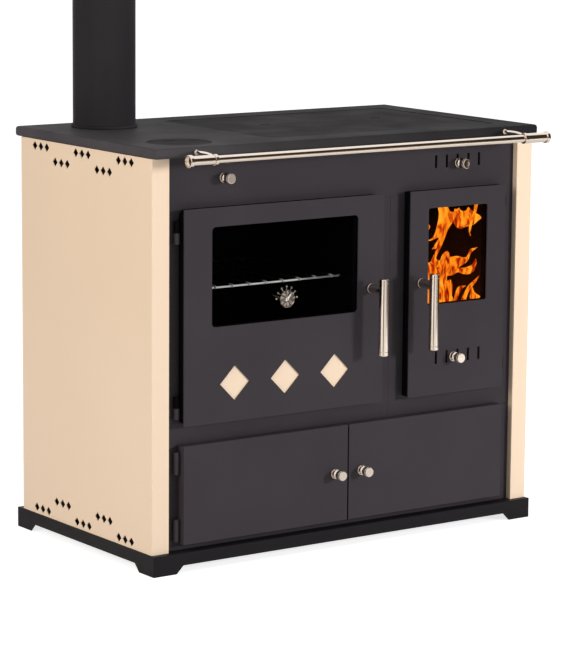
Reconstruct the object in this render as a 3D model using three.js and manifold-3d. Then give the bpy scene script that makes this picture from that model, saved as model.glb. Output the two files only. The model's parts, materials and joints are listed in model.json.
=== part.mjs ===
// Wood-burning cookstove with an oven, a glazed fire door, a storage cupboard and a towel rail.
// Millimetres, +Z up, the front faces -Y and +X is to the right of someone facing the stove.
// Inside the model the face plate's front is y = 0; the whole group is then moved so that the
// origin is under the middle of the bounding box, on the floor.

import * as THREE from 'three';
import { mergeVertices } from 'three/addons/utils/BufferGeometryUtils.js';
import Module from 'manifold-3d';

const wasm = await Module();
wasm.setup();

// ---------------------------------------------------------------- driving dimensions

// Clearances
const seat = 0.3; // between pieces that rest on each other
const play = 0.1; // radial, between a pin and its bore
const slip = 0.5; // round pieces that slide or turn in a hole

// Rows of the front, from the floor up
const plinthHeight = 42;
const sillHeight = 15; // plinth to storage doors
const storageDoorHeight = 199.5;
const rowGap = 39; // storage doors to upper doors
const doorHeight = 432;
const controlPanelHeight = 102.5;
const slabThickness = 20;

// Columns of the front, from left to right
const stripWidth = 40; // cream strip at each side
const leftMargin = 29; // strip to oven door
const ovenDoorWidth = 489;
const doorSpacing = 68; // oven door to fire door
const fireDoorWidth = 252;
const rightMargin = 38; // fire door to strip
const storageDoorGap = 3.5;

// Depths
const panelDepth = 501;
const faceRecess = 14; // strips stand in front of the face plate
const plinthFrontLedge = 12;
const plinthBackLedge = 19;
const plinthSideLedge = 3;
const slabFrontOverhang = 16;
const slabBackOverhang = 21;
const slabSideOverhang = 3;

// Sheet and plate
const panelSheet = 1.5;
const faceThickness = 3;
const plinthSheet = 3;
const innerSheet = 2;
const innerWallGap = 14; // cream panel's face to the inner wall
const backFlange = 20;
const backStandoff = 2; // panel flange to back sheet

// Plinth feet
const footLength = 55;
const apronCut = 16; // height of the cut between two feet

// Diamond vents
const ventHalf = 9.6; // half diagonal
const ventPitch = 23.7; // within a group of three
const ventGroupPitch = 80.5;
const ventGroups = 5;
const ventsPerGroup = 3;
const ventEdge = 13.5; // panel edge to the outer row
const ventRow = 26.5; // outer row to inner row
const ventShift = 9; // pattern's middle behind the panel's middle

// Cooktop
const slabRounding = 5;
const slabCorner = 2.5;
const slabPlate = 8; // thickness over the hollow
const hobLeftMargin = 318;
const hobRightMargin = 62;
const hobFrontMargin = 65;
const hobBackMargin = 69;
const hobCorner = 20;
const hobLedge = 9;
const hobBand = 9; // solid band round the hob opening and the lid
const hobThickness = 7;
const hobDrop = 1; // hob plates and lid lie this far below the slab's top
const hobSeamShift = 9; // seam right of the opening's middle
const bridgeWidth = 18;
const discDiameter = 170;
const discThickness = 3.5;
const discLedge = 7;
const lidDiameter = 130;
const lidFromLeft = 119;
const lidFromFront = 98;
const lidLedge = 6;
const lifterLength = 26;
const lifterWidth = 8;
const lifterInset = 36; // from the disc's middle

// Flue
const pipeDiameter = 130;
const pipeWall = 2;
const pipeLength = 500;
const flueFromLeft = 151;
const flueFromBack = 109;
const collarHeight = 6;
const collarFlange = 3.5; // collar beyond the pipe
const spigotHeight = 45;
const spigotWall = 3;

// Rail
const railDiameter = 16;
const railWall = 1.5;
const railReach = 67; // slab front to the rail's axis
const railDrop = 18.5; // cooktop to the rail's axis
const railEndInset = 40; // cooktop's end to the tube's end
const railEyeFromEnd = 54;
const railEyeWidth = 7;
const railEyeWall = 3;
const railSleeveWall = 1.4;
const railCapDiameter = 25;
const railCapLength = 8;
const railCapRecess = 3;
const railArmDiameter = 6;
const railArmHeight = 10; // above the slab's underside
const rosetteDiameter = 11;
const rosetteThickness = 3;

// Upper doors
const doorProud = 24; // door front to face plate
const skinThickness = 3;
const linerInset = 1.5;
const linerWall = 2;
const linerPlate = 2;
const linerRearGap = 1.2;
const linerPlateDepth = 5; // behind the plate, for the gasket
const ovenLinerCorner = 15;
const fireLinerCorner = 3;
const doorOverlap = 19; // door edge beyond the opening at the sides
const ovenOverlapTop = 27;
const ovenOverlapBottom = 38;
const openingCorner = 6;
const glassThickness = 4;
const glassMargin = 11;
const collarWall = 2;
const gasketWidth = 8;
const gasketMargin = 2; // opening to gasket

const ovenWindowSide = 65.5; // door's edges to the window
const ovenWindowTop = 38.5;
const ovenWindowBottom = 193.5;
const ovenWindowCorner = 9;
const lozengeHalf = 36;
const lozengePitch = 123;
const lozengeCount = 3;
const lozengeHeight = 77.5;
const inlayMargin = 8;
const inlayThickness = 1.5;

const fireWindowFromSpindle = 19.5;
const fireWindowTop = 37.5;
const fireWindowBottom = 191.5;
const fireWindowCorner = 4;

// Handles and latches
const handleDiameter = 21;
const handleLength = 159;
const handleTopOverStub = 24.5;
const handleStandoff = 46.5; // door front to the tube's axis
const handleHeight = 240.5; // stub over the door's lower edge
const handleChamfer = 1.5;
const stubDiameter = 20;
const spindleDiameter = 8;
const spindleBehindPlate = 16;
const camThickness = 4;
const camWidth = 10;
const camClearance = 0.6; // to the opening's edge, when the handle turns
const ovenSpindleInset = 33.5; // from the door's free edge
const fireSpindleInset = 28.5;

// Hinges
const hingeRadius = 6.5;
const hingePinRadius = 3;
const hingeHeight = 45;
const hingeGap = 0.4;
const hingeLeaf = 11;
const upperHingeDrop = 24; // door top to the upper hinge's top
const lowerHingeRise = 14; // door bottom to the lower hinge's bottom
const storageHingeDrop = 13;
const storageHingeRise = 5;

// Thermometer
const gaugeDiameter = 36;
const gaugeDepth = 9;
const gaugeRim = 2.5;
const gaugeRimRise = 2.5;
const gaugeRise = 43; // over the oven window's lower edge
const gaugePins = 7;
const gaugePinRadius = 0.9;
const gaugeBallRadius = 2.6;
const gaugePinReach = 25;
const gaugePinSpread = 172; // degrees, over the upper half
const gaugeStemDiameter = 7;
const gaugeStemLength = 45;
const needleLength = 14;
const needleTail = 5;
const needleWidth = 2.4;
const needleThickness = 0.8;
const needlePostRadius = 1.4;
const needleHubRadius = 3;
const needleAngle = 45; // degrees from +X, seen from the front; the oven is hot

// Air controls
const airSlots = 5;
const airSlotPitch = 28.5;
const airSlotWidth = 6;
const airSlotHeight = 27;
const airSliderMargin = 6;
const airSliderThickness = 2;
const airTravel = 14; // end to end; the slots are open in the middle of it
const airGuide = 3;
const stemDiameter = 6;
const primaryAirHeight = 78.5; // above the fire door's lower edge
const primaryAirShift = 3.5; // right of the door's middle
const primaryKnobShift = -12; // stem right of the slots' middle, at rest
const primaryKnobDrop = 1; // stem below the slots' middle
const secondaryAirShift = 14.5; // right of the fire door's middle
const secondaryKnobShift = 2;
const secondaryKnobDrop = 5;
const controlHeight = 50; // knobs over the upper doors' top

// Knobs
const knobFlangeDiameter = 21;
const knobFlangeThickness = 2.5;
const knobNeckDiameter = 9;
const knobNeckLength = 5.5;
const knobBodyDiameter = 20.5;
const knobWaistDiameter = 16;
const knobBodyLength = 21;
const storageKnobInset = 32; // from the meeting edge
const storageKnobHeight = 100.5; // above the storage door's lower edge

// Flue damper
const damperFromLeft = 180; // slab's left edge to the rod
const damperRise = 5; // damper's rod over the air knob's level
const damperRodDiameter = 8;
const damperDiscDiameter = 84;
const damperDiscThickness = 3;
const damperRodTail = 95; // rod behind the disc, so that it stays in its guide when pulled
const damperWindowDiameter = 70;
const damperBarWidth = 18;
const flueBoxLeftMargin = 4; // beside the flue
const flueBoxRightMargin = 8; // beside the damper's disc
const flueBoxFrontMargin = 14;

// Storage doors and cupboard
const storageOverlap = 13;
const storageSkin = 3;
const storageReturn = 2;
const storageStile = 16; // half width of the post between the two openings

// Oven
const ovenDepth = 426;
const ovenSheet = 1.5;
const rackFromFront = 78;
const rackFromBack = 38;
const rackHeight = 216; // above the oven floor
const rackRailRadius = 2.2;
const rackWireRadius = 1.8;
const rackWirePitch = 41.5;
const rackOverhang = 5;
const rackSideGap = 11;
const runnerWidth = 16;
const runnerThickness = 2;

// Firebox
const partitionFromOven = 30; // oven door's edge to the partition
const brickThickness = 30;
const brickHeight = 330;
const brickGap = 2;
const rightBrickFromOpening = 20;
const hearthHeight = 56; // over the cupboard's ceiling
const hearthThickness = 4;
const firebrickFromBack = 46; // back firebrick to the back panel's sheet
const ashHoleWidth = 150;
const ashHoleFromFront = 70;
const ashHoleFromBack = 60;
const grateLap = 14; // grate over the hearth plate
const grateThickness = 12;
const grateBars = 9;
const grateSlotWidth = 9;
const grateFrame = 16;
const ashPanWidth = 176;
const ashPanDepth = 350;
const ashPanHeight = 44;
const ashPanFromFront = 32;
const ashPanSheet = 1.5;
const ashHandleWidth = 90;
const ashHandleReach = 24;
const ashHandleSection = 5;

// Facets of round pieces
const fine = 32;
const medium = 16;
const coarse = 8;
const thinRod = 4;
const cornerSteps = 3;

// ---------------------------------------------------------------- worked-out places

const storageDoorBottom = plinthHeight + sillHeight;
const doorBottom = storageDoorBottom + storageDoorHeight + rowGap;
const doorTop = doorBottom + doorHeight;
const slabBottom = doorTop + controlPanelHeight;
const cooktopHeight = slabBottom + slabThickness;

const faceWidth = leftMargin + ovenDoorWidth + doorSpacing + fireDoorWidth + rightMargin;
const bodyHalf = faceWidth / 2 + stripWidth;
const ovenDoorLeft = -faceWidth / 2 + leftMargin;
const ovenDoorRight = ovenDoorLeft + ovenDoorWidth;
const fireDoorLeft = ovenDoorRight + doorSpacing;
const fireDoorRight = fireDoorLeft + fireDoorWidth;
const ovenDoorMiddle = (ovenDoorLeft + ovenDoorRight) / 2;
const fireDoorMiddle = (fireDoorLeft + fireDoorRight) / 2;
const storageDoorWidth = (fireDoorRight - ovenDoorLeft - storageDoorGap) / 2;
const storageSeam = (ovenDoorLeft + fireDoorRight) / 2;

const faceBack = faceThickness;
const stripFront = -faceRecess;
const panelBack = stripFront + panelDepth;
const plinthFront = stripFront - plinthFrontLedge;
const plinthBack = panelBack + plinthBackLedge;
const plinthHalf = bodyHalf + plinthSideLedge;
const slabFront = stripFront - slabFrontOverhang;
const slabBack = panelBack + slabBackOverhang;
const slabHalf = bodyHalf + slabSideOverhang;
const wallBottom = plinthHeight + seat;
const wallTop = slabBottom - seat;
const backSheetBack = panelBack - panelSheet - backStandoff;
const backSheetFront = backSheetBack - innerSheet;
const insideFront = faceBack + seat;
const insideBack = backSheetFront - seat;
const innerWallOuter = bodyHalf - innerWallGap;
const innerWallInner = innerWallOuter - innerSheet;
const insideHalf = innerWallInner - seat;
const frontEdge = bodyHalf - panelSheet - seat;
const cupboardFrameTop = storageDoorBottom + storageDoorHeight - storageOverlap / 2;
const doorFrameTop = doorTop - doorOverlap / 2;
const doorFrameLevels = [cupboardFrameTop + seat, doorFrameTop];
const frameJoint = (ovenDoorRight + fireDoorLeft) / 2;
const ceilingTop = doorBottom + doorOverlap;
const ceilingBottom = ceilingTop - innerSheet;
const controlLevel = doorTop + controlHeight;
const damperLevel = controlLevel + damperRise;

const ovenOpening = {
  left: ovenDoorLeft + doorOverlap,
  right: ovenDoorRight - doorOverlap,
  bottom: doorBottom + ovenOverlapBottom,
  top: doorTop - ovenOverlapTop,
};
const fireOpening = {
  left: fireDoorLeft + doorOverlap,
  right: fireDoorRight - doorOverlap,
  bottom: doorBottom + doorOverlap,
  top: doorTop - doorOverlap,
};
const ovenBack = insideFront + ovenDepth;
const gaugeHeight = ovenWindowBottom + gaugeRise;
const fireWindowSide = fireSpindleInset + fireWindowFromSpindle;

const hob = {
  left: -slabHalf + hobLeftMargin,
  right: slabHalf - hobRightMargin,
  front: slabFront + hobFrontMargin,
  back: slabBack - hobBackMargin,
};
const hobTop = cooktopHeight - hobDrop;
const hobBottom = hobTop - hobThickness;
const ledgeTop = hobBottom - seat;
const hobSeam = (hob.left + hob.right) / 2 + hobSeamShift;
const discX = (hobSeam + hob.right) / 2;
const discY = (hob.front + hob.back) / 2;
const lidX = -slabHalf + lidFromLeft;
const lidY = slabFront + lidFromFront;
const flueX = -slabHalf + flueFromLeft;
const flueY = slabBack - flueFromBack;
const spigotRadius = pipeDiameter / 2 - pipeWall - seat;
const collarBottom = cooktopHeight + seat;
const pipeBottom = collarBottom + collarHeight + seat;

const railHalfLength = slabHalf - railEndInset;
const railY = slabFront - railReach;
const railZ = cooktopHeight - railDrop;

const skinFront = -doorProud;
const skinBack = skinFront + skinThickness;
const linerFront = skinBack + seat;
const linerBack = -linerRearGap;
const plateBack = -linerPlateDepth;
const plateFront = plateBack - linerPlate;
const glassFront = linerFront;
const glassBack = glassFront + glassThickness;
const hingeAxisY = -hingeRadius - slip;

const damperX = -slabHalf + damperFromLeft;
const flueBox = {
  left: flueX - pipeDiameter / 2 - flueBoxLeftMargin,
  right: damperX + damperDiscDiameter / 2 + flueBoxRightMargin,
  front: flueY - pipeDiameter / 2 - flueBoxFrontMargin,
  back: insideBack - seat,
  bottom: ovenOpening.top + ovenSheet + seat,
  top: cooktopHeight - slabPlate - seat,
};

const partitionLeft = ovenDoorRight + partitionFromOven;
const partitionRight = partitionLeft + innerSheet;
const hearthBottom = ceilingTop + hearthHeight;
const hearthTop = hearthBottom + hearthThickness;
const brickBottom = hearthTop + seat;
const fireboxLeft = partitionRight + brickGap + brickThickness;
const fireboxRight = fireOpening.right + rightBrickFromOpening;
const fireboxDepth = insideBack - insideFront - firebrickFromBack - brickThickness - brickGap;
const ashHoleDepth = fireboxDepth - ashHoleFromFront - ashHoleFromBack;
const ashMiddle = (fireboxLeft + fireboxRight) / 2;
const rackLevel = ovenOpening.bottom + rackHeight;
const rackDepth = ovenDepth - rackFromFront - rackFromBack;

// ---------------------------------------------------------------- materials

const finishes = {
  blackEnamel: { color: 0x434244, roughness: 0.55, metalness: 0.2 },
  plinthBlack: { color: 0x2b2a2d, roughness: 0.6, metalness: 0.2 },
  creamEnamel: { color: 0xecd4b4, roughness: 0.4, metalness: 0.05 },
  castIron: { color: 0x3b3a3d, roughness: 0.7, metalness: 0.5 },
  pipeBlack: { color: 0x2c2a2d, roughness: 0.5, metalness: 0.3 },
  chrome: { color: 0xd6d2cc, roughness: 0.12, metalness: 1 },
  steel: { color: 0x8d8c8a, roughness: 0.4, metalness: 0.9 },
  darkSteel: { color: 0x1c1b1d, roughness: 0.7, metalness: 0.4 },
  ovenEnamel: { color: 0x17171b, roughness: 0.35, metalness: 0.1 },
  glass: { color: 0x0c0c0e, roughness: 0.05, metalness: 0, transparent: true, opacity: 0.35 },
  fibre: { color: 0x3a3936, roughness: 1, metalness: 0 },
  firebrick: { color: 0xb39b78, roughness: 0.95, metalness: 0 },
  needleRed: { color: 0xa01810, roughness: 0.5, metalness: 0 },
};

// ---------------------------------------------------------------- geometry helpers

function toSolid(geometry) {
  const bare = geometry.clone();
  bare.deleteAttribute('normal');
  bare.deleteAttribute('uv');
  const merged = mergeVertices(bare, 1e-4);
  return new wasm.Manifold(new wasm.Mesh({
    numProp: 3,
    vertProperties: Float32Array.from(merged.attributes.position.array),
    triVerts: Uint32Array.from(merged.index.array),
  }));
}

function toGeometry(solid) {
  const mesh = solid.getMesh();
  const geometry = new THREE.BufferGeometry();
  geometry.setAttribute('position', new THREE.Float32BufferAttribute(mesh.vertProperties, 3));
  geometry.setIndex(new THREE.Uint32BufferAttribute(mesh.triVerts, 1));
  return geometry;
}

function cut(body, ...tools) {
  return toGeometry(tools.reduce((rest, tool) => rest.subtract(toSolid(tool)), toSolid(body)));
}

function join(body, ...others) {
  return toGeometry(others.reduce((sum, other) => sum.add(toSolid(other)), toSolid(body)));
}

function block([x0, x1], [y0, y1], [z0, z1]) {
  const geometry = new THREE.BoxGeometry(x1 - x0, y1 - y0, z1 - z0);
  return geometry.translate((x0 + x1) / 2, (y0 + y1) / 2, (z0 + z1) / 2);
}

function extrude(shape, depth) {
  return new THREE.ExtrudeGeometry(shape, { depth, bevelEnabled: false, curveSegments: cornerSteps });
}

// A shape drawn in X and Y, standing from z0 to z1
function plateXY(shape, [z0, z1]) {
  return extrude(shape, z1 - z0).translate(0, 0, z0);
}

// A shape drawn in X and Z, from y0 back to y1
function plateXZ(shape, [y0, y1]) {
  return extrude(shape, y1 - y0).rotateX(Math.PI / 2).translate(0, y1, 0);
}

// A shape drawn in Y and Z, from x0 right to x1
function plateYZ(shape, [x0, x1]) {
  const turn = new THREE.Matrix4().makeBasis(
    new THREE.Vector3(0, 1, 0),
    new THREE.Vector3(0, 0, 1),
    new THREE.Vector3(1, 0, 0),
  );
  return extrude(shape, x1 - x0).applyMatrix4(turn).translate(x0, 0, 0);
}

function polygon(points) {
  return new THREE.Shape(points.map(([a, b]) => new THREE.Vector2(a, b)));
}

function roundedRectangle(left, right, bottom, top, radius, Kind = THREE.Shape) {
  const outline = new Kind();
  outline.moveTo(left + radius, bottom);
  outline.absarc(right - radius, bottom + radius, radius, -Math.PI / 2, 0);
  outline.absarc(right - radius, top - radius, radius, 0, Math.PI / 2);
  outline.absarc(left + radius, top - radius, radius, Math.PI / 2, Math.PI);
  outline.absarc(left + radius, bottom + radius, radius, Math.PI, Math.PI * 1.5);
  return outline;
}

function lozenge(middle, height, half) {
  return [
    [middle - half, height],
    [middle, height - half],
    [middle + half, height],
    [middle, height + half],
  ];
}

function frameShape(outer, inner) {
  const shape = roundedRectangle(outer.left, outer.right, outer.bottom, outer.top, outer.corner);
  shape.holes.push(
    roundedRectangle(inner.left, inner.right, inner.bottom, inner.top, inner.corner, THREE.Path),
  );
  return shape;
}

function grown(box, by, corner) {
  return {
    left: box.left - by,
    right: box.right + by,
    bottom: box.bottom - by,
    top: box.top + by,
    corner,
  };
}

// Turned pieces: profile points are [radius, place along the axis]
function turned(profile, facets) {
  const points = profile.map(([radius, along]) => new THREE.Vector2(radius, along));
  return new THREE.LatheGeometry(points, facets);
}

function turnedAlongX(profile, facets) {
  return turned(profile, facets).rotateZ(-Math.PI / 2);
}

function turnedAlongZ(profile, facets) {
  return turned(profile, facets).rotateX(Math.PI / 2);
}

function rodProfile(radius, low, high) {
  return [[0, low], [radius, low], [radius, high], [0, high]];
}

function ringProfile(inner, outer, low, high) {
  return [[inner, low], [outer, low], [outer, high], [inner, high], [inner, low]];
}

function rodAlongY(radius, low, high, facets) {
  return turned(rodProfile(radius, low, high), facets);
}

function rodAlongZ(radius, low, high, facets) {
  return turnedAlongZ(rodProfile(radius, low, high), facets);
}

function rodAlongX(radius, low, high, facets) {
  return turnedAlongX(rodProfile(radius, low, high), facets);
}

function piece(name, geometry, finish, [x, y, z] = [0, 0, 0]) {
  const mesh = new THREE.Mesh(geometry, new THREE.MeshStandardMaterial(finish));
  mesh.name = name;
  mesh.position.set(x, y, z);
  return mesh;
}

// ---------------------------------------------------------------- casing

function plinth() {
  const wall = plinthSheet;
  const box = block([-plinthHalf, plinthHalf], [plinthFront, plinthBack], [0, plinthHeight]);
  const hollow = block(
    [-plinthHalf + wall, plinthHalf - wall],
    [plinthFront + wall, plinthBack - wall],
    [-wall, plinthHeight - wall],
  );
  const gapBetweenFeet = (low, high) => polygon([
    [low + footLength - wall, -wall],
    [high - footLength + wall, -wall],
    [high - footLength - apronCut, apronCut],
    [low + footLength + apronCut, apronCut],
  ]);
  const alongY = plateXZ(gapBetweenFeet(-plinthHalf, plinthHalf), [plinthFront - wall, plinthBack + wall]);
  const alongX = plateYZ(gapBetweenFeet(plinthFront, plinthBack), [-plinthHalf - wall, plinthHalf + wall]);
  return cut(box, hollow, alongY, alongX);
}

function sidePanel(side) {
  const front = stripFront;
  const inner = bodyHalf - panelSheet;
  const plan = [
    [bodyHalf - stripWidth, -seat],
    [bodyHalf - stripWidth, front],
    [bodyHalf, front],
    [bodyHalf, panelBack],
    [bodyHalf - backFlange, panelBack],
    [bodyHalf - backFlange, panelBack - panelSheet],
    [inner, panelBack - panelSheet],
    [inner, front + panelSheet],
    [bodyHalf - stripWidth + panelSheet, front + panelSheet],
    [bodyHalf - stripWidth + panelSheet, -seat],
  ];
  const sheet = plateXY(polygon(plan.map(([x, y]) => [side * x, y])), [wallBottom, wallTop]);
  return cut(sheet, ...vents(side));
}

// Groups of three diamonds zigzag along the top and the bottom of each side panel
function vents(side) {
  const middle = (stripFront + panelBack) / 2 + ventShift;
  const reach = [side * bodyHalf - 2 * panelSheet, side * bodyHalf + 2 * panelSheet];
  const cutters = [];
  for (let group = 0; group < ventGroups; group += 1) {
    const groupY = middle + (group - (ventGroups - 1) / 2) * ventGroupPitch;
    const rise = ventEdge + (group % 2) * ventRow;
    for (let vent = 0; vent < ventsPerGroup; vent += 1) {
      const y = groupY + (vent - (ventsPerGroup - 1) / 2) * ventPitch;
      for (const z of [wallBottom + rise, wallTop - rise]) {
        cutters.push(plateYZ(polygon(lozenge(y, z, ventHalf)), reach));
      }
    }
  }
  return cutters;
}

function airSlotPaths(middle, height) {
  const paths = [];
  for (let slot = 0; slot < airSlots; slot += 1) {
    const x = middle + (slot - (airSlots - 1) / 2) * airSlotPitch;
    paths.push(block(
      [x - airSlotWidth / 2, x + airSlotWidth / 2],
      [skinFront - faceThickness, faceBack + airSliderThickness + airGuide],
      [height - airSlotHeight / 2, height + airSlotHeight / 2],
    ));
  }
  return paths;
}

// The slot that the slider's stem travels in; the knob's flange hides it
function stemPath(x, height) {
  const halfHeight = stemDiameter / 2 + slip;
  const half = airTravel / 2 + halfHeight;
  return block(
    [x - half, x + half],
    [skinFront - faceThickness, faceBack + airSliderThickness],
    [height - halfHeight, height + halfHeight],
  );
}

const sliderHalfWidth = ((airSlots - 1) * airSlotPitch + airSlotWidth) / 2 + airSliderMargin;
const sliderHalfHeight = airSlotHeight / 2 + airSliderMargin;

// Two folded strips behind a plate hold an air slider at its upper and lower edge
function airGuides(middle, height, plateRear) {
  const half = sliderHalfWidth + airTravel / 2 + airGuide;
  const rear = plateRear + airSliderThickness + 2 * seat;
  const strips = [];
  for (const side of [-1, 1]) {
    const near = height + side * (sliderHalfHeight - airGuide);
    const edge = height + side * (sliderHalfHeight + seat);
    const far = height + side * (sliderHalfHeight + airGuide);
    const web = [Math.min(edge, far), Math.max(edge, far)];
    const lip = [Math.min(near, far), Math.max(near, far)];
    strips.push(join(
      block([middle - half, middle + half], [plateRear - seat, rear + panelSheet], web),
      block([middle - half, middle + half], [rear, rear + panelSheet], lip),
    ));
  }
  return strips;
}

function airSlider(stemX, stemDrop) {
  const plate = block(
    [-sliderHalfWidth, sliderHalfWidth],
    [0, airSliderThickness],
    [-sliderHalfHeight, sliderHalfHeight],
  );
  const slots = airSlotPaths(0, 0);
  const bore = rodAlongY(stemDiameter / 2 + seat, -1, airSliderThickness + 1, medium)
    .translate(stemX, 0, -stemDrop);
  return cut(plate, ...slots, bore);
}

function storageOpening(side) {
  const outer = side < 0 ? ovenDoorLeft + storageOverlap : fireDoorRight - storageOverlap;
  const inner = storageSeam + side * storageStile;
  return {
    left: Math.min(outer, inner),
    right: Math.max(outer, inner),
    bottom: storageDoorBottom + storageOverlap,
    top: storageDoorBottom + storageDoorHeight - storageOverlap,
  };
}

// A sheet across the front between two heights, with its openings
function frontSheet([left, right], [bottom, top], openings) {
  const shape = polygon([[left, bottom], [right, bottom], [right, top], [left, top]]);
  for (const hole of openings) {
    shape.holes.push(
      roundedRectangle(hole.left, hole.right, hole.bottom, hole.top, openingCorner, THREE.Path),
    );
  }
  return plateXZ(shape, [0, faceBack]);
}

// The front is four sheets, joined behind the doors' upper edges and between the two upper doors.
// The fixed hinge halves are welded to the sheets that frame the doors.
function doorFrame(xs, zs, openings, hingePlaces) {
  const hinges = hingePlaces.map(([x, z]) => hingeBody().translate(x, hingeAxisY, z));
  return join(frontSheet(xs, zs, openings), ...hinges);
}

function cupboardFrame() {
  const openings = [storageOpening(-1), storageOpening(1)];
  return doorFrame([-frontEdge, frontEdge], [wallBottom, cupboardFrameTop], openings, storageHingePlaces());
}

function ovenFrame() {
  const places = doorHingePlaces(ovenDoorLeft - hingeRadius);
  return doorFrame([-frontEdge, frameJoint - seat], doorFrameLevels, [ovenOpening], places);
}

function fireFrame() {
  const places = doorHingePlaces(fireDoorRight + hingeRadius);
  return doorFrame([frameJoint, frontEdge], doorFrameLevels, [fireOpening], places);
}

function facePlate() {
  const plate = frontSheet([-frontEdge, frontEdge], [doorFrameTop + seat, wallTop], []);
  const slotMiddle = fireDoorMiddle + secondaryAirShift;
  const slotLevel = controlLevel + secondaryKnobDrop;
  const holes = [
    ...airSlotPaths(slotMiddle, slotLevel),
    stemPath(slotMiddle + secondaryKnobShift, controlLevel),
    rodAlongY(damperRodDiameter / 2 + play, -1, faceBack + 1, medium).translate(damperX, 0, damperLevel),
  ];
  return join(cut(plate, ...holes), ...airGuides(slotMiddle, slotLevel, faceBack));
}

function casing() {
  const group = new THREE.Group();
  const { blackEnamel, plinthBlack, creamEnamel, darkSteel } = finishes;
  const insideX = [-insideHalf, insideHalf];
  const insideY = [insideFront, insideBack];
  group.add(piece('plinth', plinth(), plinthBlack));
  group.add(piece('side_panel_left', sidePanel(-1), creamEnamel));
  group.add(piece('side_panel_right', sidePanel(1), creamEnamel));
  group.add(piece('face_plate', facePlate(), blackEnamel));
  group.add(piece('oven_frame', ovenFrame(), blackEnamel));
  group.add(piece('fire_frame', fireFrame(), blackEnamel));
  group.add(piece('cupboard_frame', cupboardFrame(), blackEnamel));
  const backEdge = bodyHalf - panelSheet - seat;
  const backSheet = block([-backEdge, backEdge], [backSheetFront, backSheetBack], [wallBottom, wallTop]);
  group.add(piece('back_panel', backSheet, darkSteel));
  const wallZ = [wallBottom, wallTop];
  const rightWall = block([innerWallInner, innerWallOuter], insideY, wallZ);
  group.add(piece('inner_wall_right', rightWall, darkSteel));
  const leftWall = block([-innerWallOuter, -innerWallInner], insideY, wallZ);
  group.add(piece('inner_wall_left', leftWall, darkSteel));
  group.add(piece('storage_ceiling', block(insideX, insideY, [ceilingBottom, ceilingTop]), darkSteel));
  const partition = block(
    [partitionLeft, partitionRight],
    insideY,
    [ceilingTop + seat, brickBottom + brickHeight],
  );
  group.add(piece('firebox_partition', partition, darkSteel));
  return group;
}

// ---------------------------------------------------------------- hinges

// The fixed half: lower knuckle, pin and the lug that is welded to the sheet behind it
function hingeBody() {
  const reach = -hingeAxisY + faceThickness / 2;
  const knuckleTop = hingeHeight / 2 - hingeGap / 2;
  return join(
    rodAlongZ(hingeRadius, 0, knuckleTop, medium),
    rodAlongZ(hingePinRadius, knuckleTop / 2, hingeHeight - hingeGap, medium),
    block([-hingeLeaf / 2, hingeLeaf / 2], [0, reach], [0, knuckleTop]),
  );
}

// The door's half: upper knuckle with its bore, and the link to the door's edge
function hingeKnuckle(side) {
  const low = hingeHeight / 2 + hingeGap / 2;
  const reach = hingeRadius + linerInset + linerWall / 2;
  const link = [Math.min(0, side * reach), Math.max(0, side * reach)];
  return cut(
    join(
      rodAlongZ(hingeRadius, low, hingeHeight, medium),
      block(link, [-hingeRadius / 2, hingeRadius / 4], [low, hingeHeight]),
    ),
    rodAlongZ(hingePinRadius + play, 0, hingeHeight + hingeGap, medium),
  );
}

function hingeLevels(bottom, height, drop, rise) {
  return [bottom + rise, bottom + height - drop - hingeHeight];
}

function doorHingePlaces(x) {
  return hingeLevels(doorBottom, doorHeight, upperHingeDrop, lowerHingeRise).map((z) => [x, z]);
}

function storageHingePlaces() {
  const levels = hingeLevels(storageDoorBottom, storageDoorHeight, storageHingeDrop, storageHingeRise);
  const places = [];
  for (const x of [ovenDoorLeft - hingeRadius, fireDoorRight + hingeRadius]) {
    for (const z of levels) {
      places.push([x, z]);
    }
  }
  return places;
}

// ---------------------------------------------------------------- knobs and handles

// The front faces -Y; y = 0 is the plate that the flange lies on
function knobProfile() {
  const flangeFront = -seat - knobFlangeThickness;
  const bodyRear = flangeFront - knobNeckLength;
  const bodyFront = bodyRear - knobBodyLength;
  const lip = knobBodyLength / 7;
  return [
    [0, bodyFront],
    [knobBodyDiameter / 2 - 1, bodyFront],
    [knobBodyDiameter / 2, bodyFront + 1],
    [knobBodyDiameter / 2, bodyFront + 3 * lip],
    [knobWaistDiameter / 2, bodyFront + 4 * lip],
    [knobWaistDiameter / 2, bodyRear - 1.5 * lip],
    [knobBodyDiameter / 2, bodyRear - lip],
    [knobNeckDiameter / 2, bodyRear],
    [knobNeckDiameter / 2, flangeFront],
    [knobFlangeDiameter / 2, flangeFront],
    [knobFlangeDiameter / 2, -seat],
  ];
}

function knob(stemEnd) {
  const stem = [[stemDiameter / 2, -seat], [stemDiameter / 2, stemEnd], [0, stemEnd]];
  return turned([...knobProfile(), ...stem], medium);
}

function handle() {
  const radius = handleDiameter / 2;
  const low = handleTopOverStub - handleLength;
  const tube = turnedAlongZ([
    [0, low],
    [radius - handleChamfer, low],
    [radius, low + handleChamfer],
    [radius, handleTopOverStub - handleChamfer],
    [radius - handleChamfer, handleTopOverStub],
    [0, handleTopOverStub],
  ], medium).translate(0, skinFront - handleStandoff, 0);
  const stub = rodAlongY(stubDiameter / 2, skinFront - handleStandoff, skinFront - seat, medium);
  return join(tube, stub);
}

// Spindle through the door, with a cam at its inner end that presses on the opening's edge
function latch(side, reach) {
  const end = plateBack + spindleBehindPlate;
  const spindle = rodAlongY(spindleDiameter / 2, skinFront, end, medium);
  const arm = [Math.min(0, side * reach), Math.max(0, side * reach)];
  const cam = block(arm, [end - camThickness, end], [-camWidth / 2, camWidth / 2]);
  return join(spindle, cam, rodAlongY(camWidth / 2, end - camThickness, end, medium));
}

// ---------------------------------------------------------------- upper doors

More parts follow.
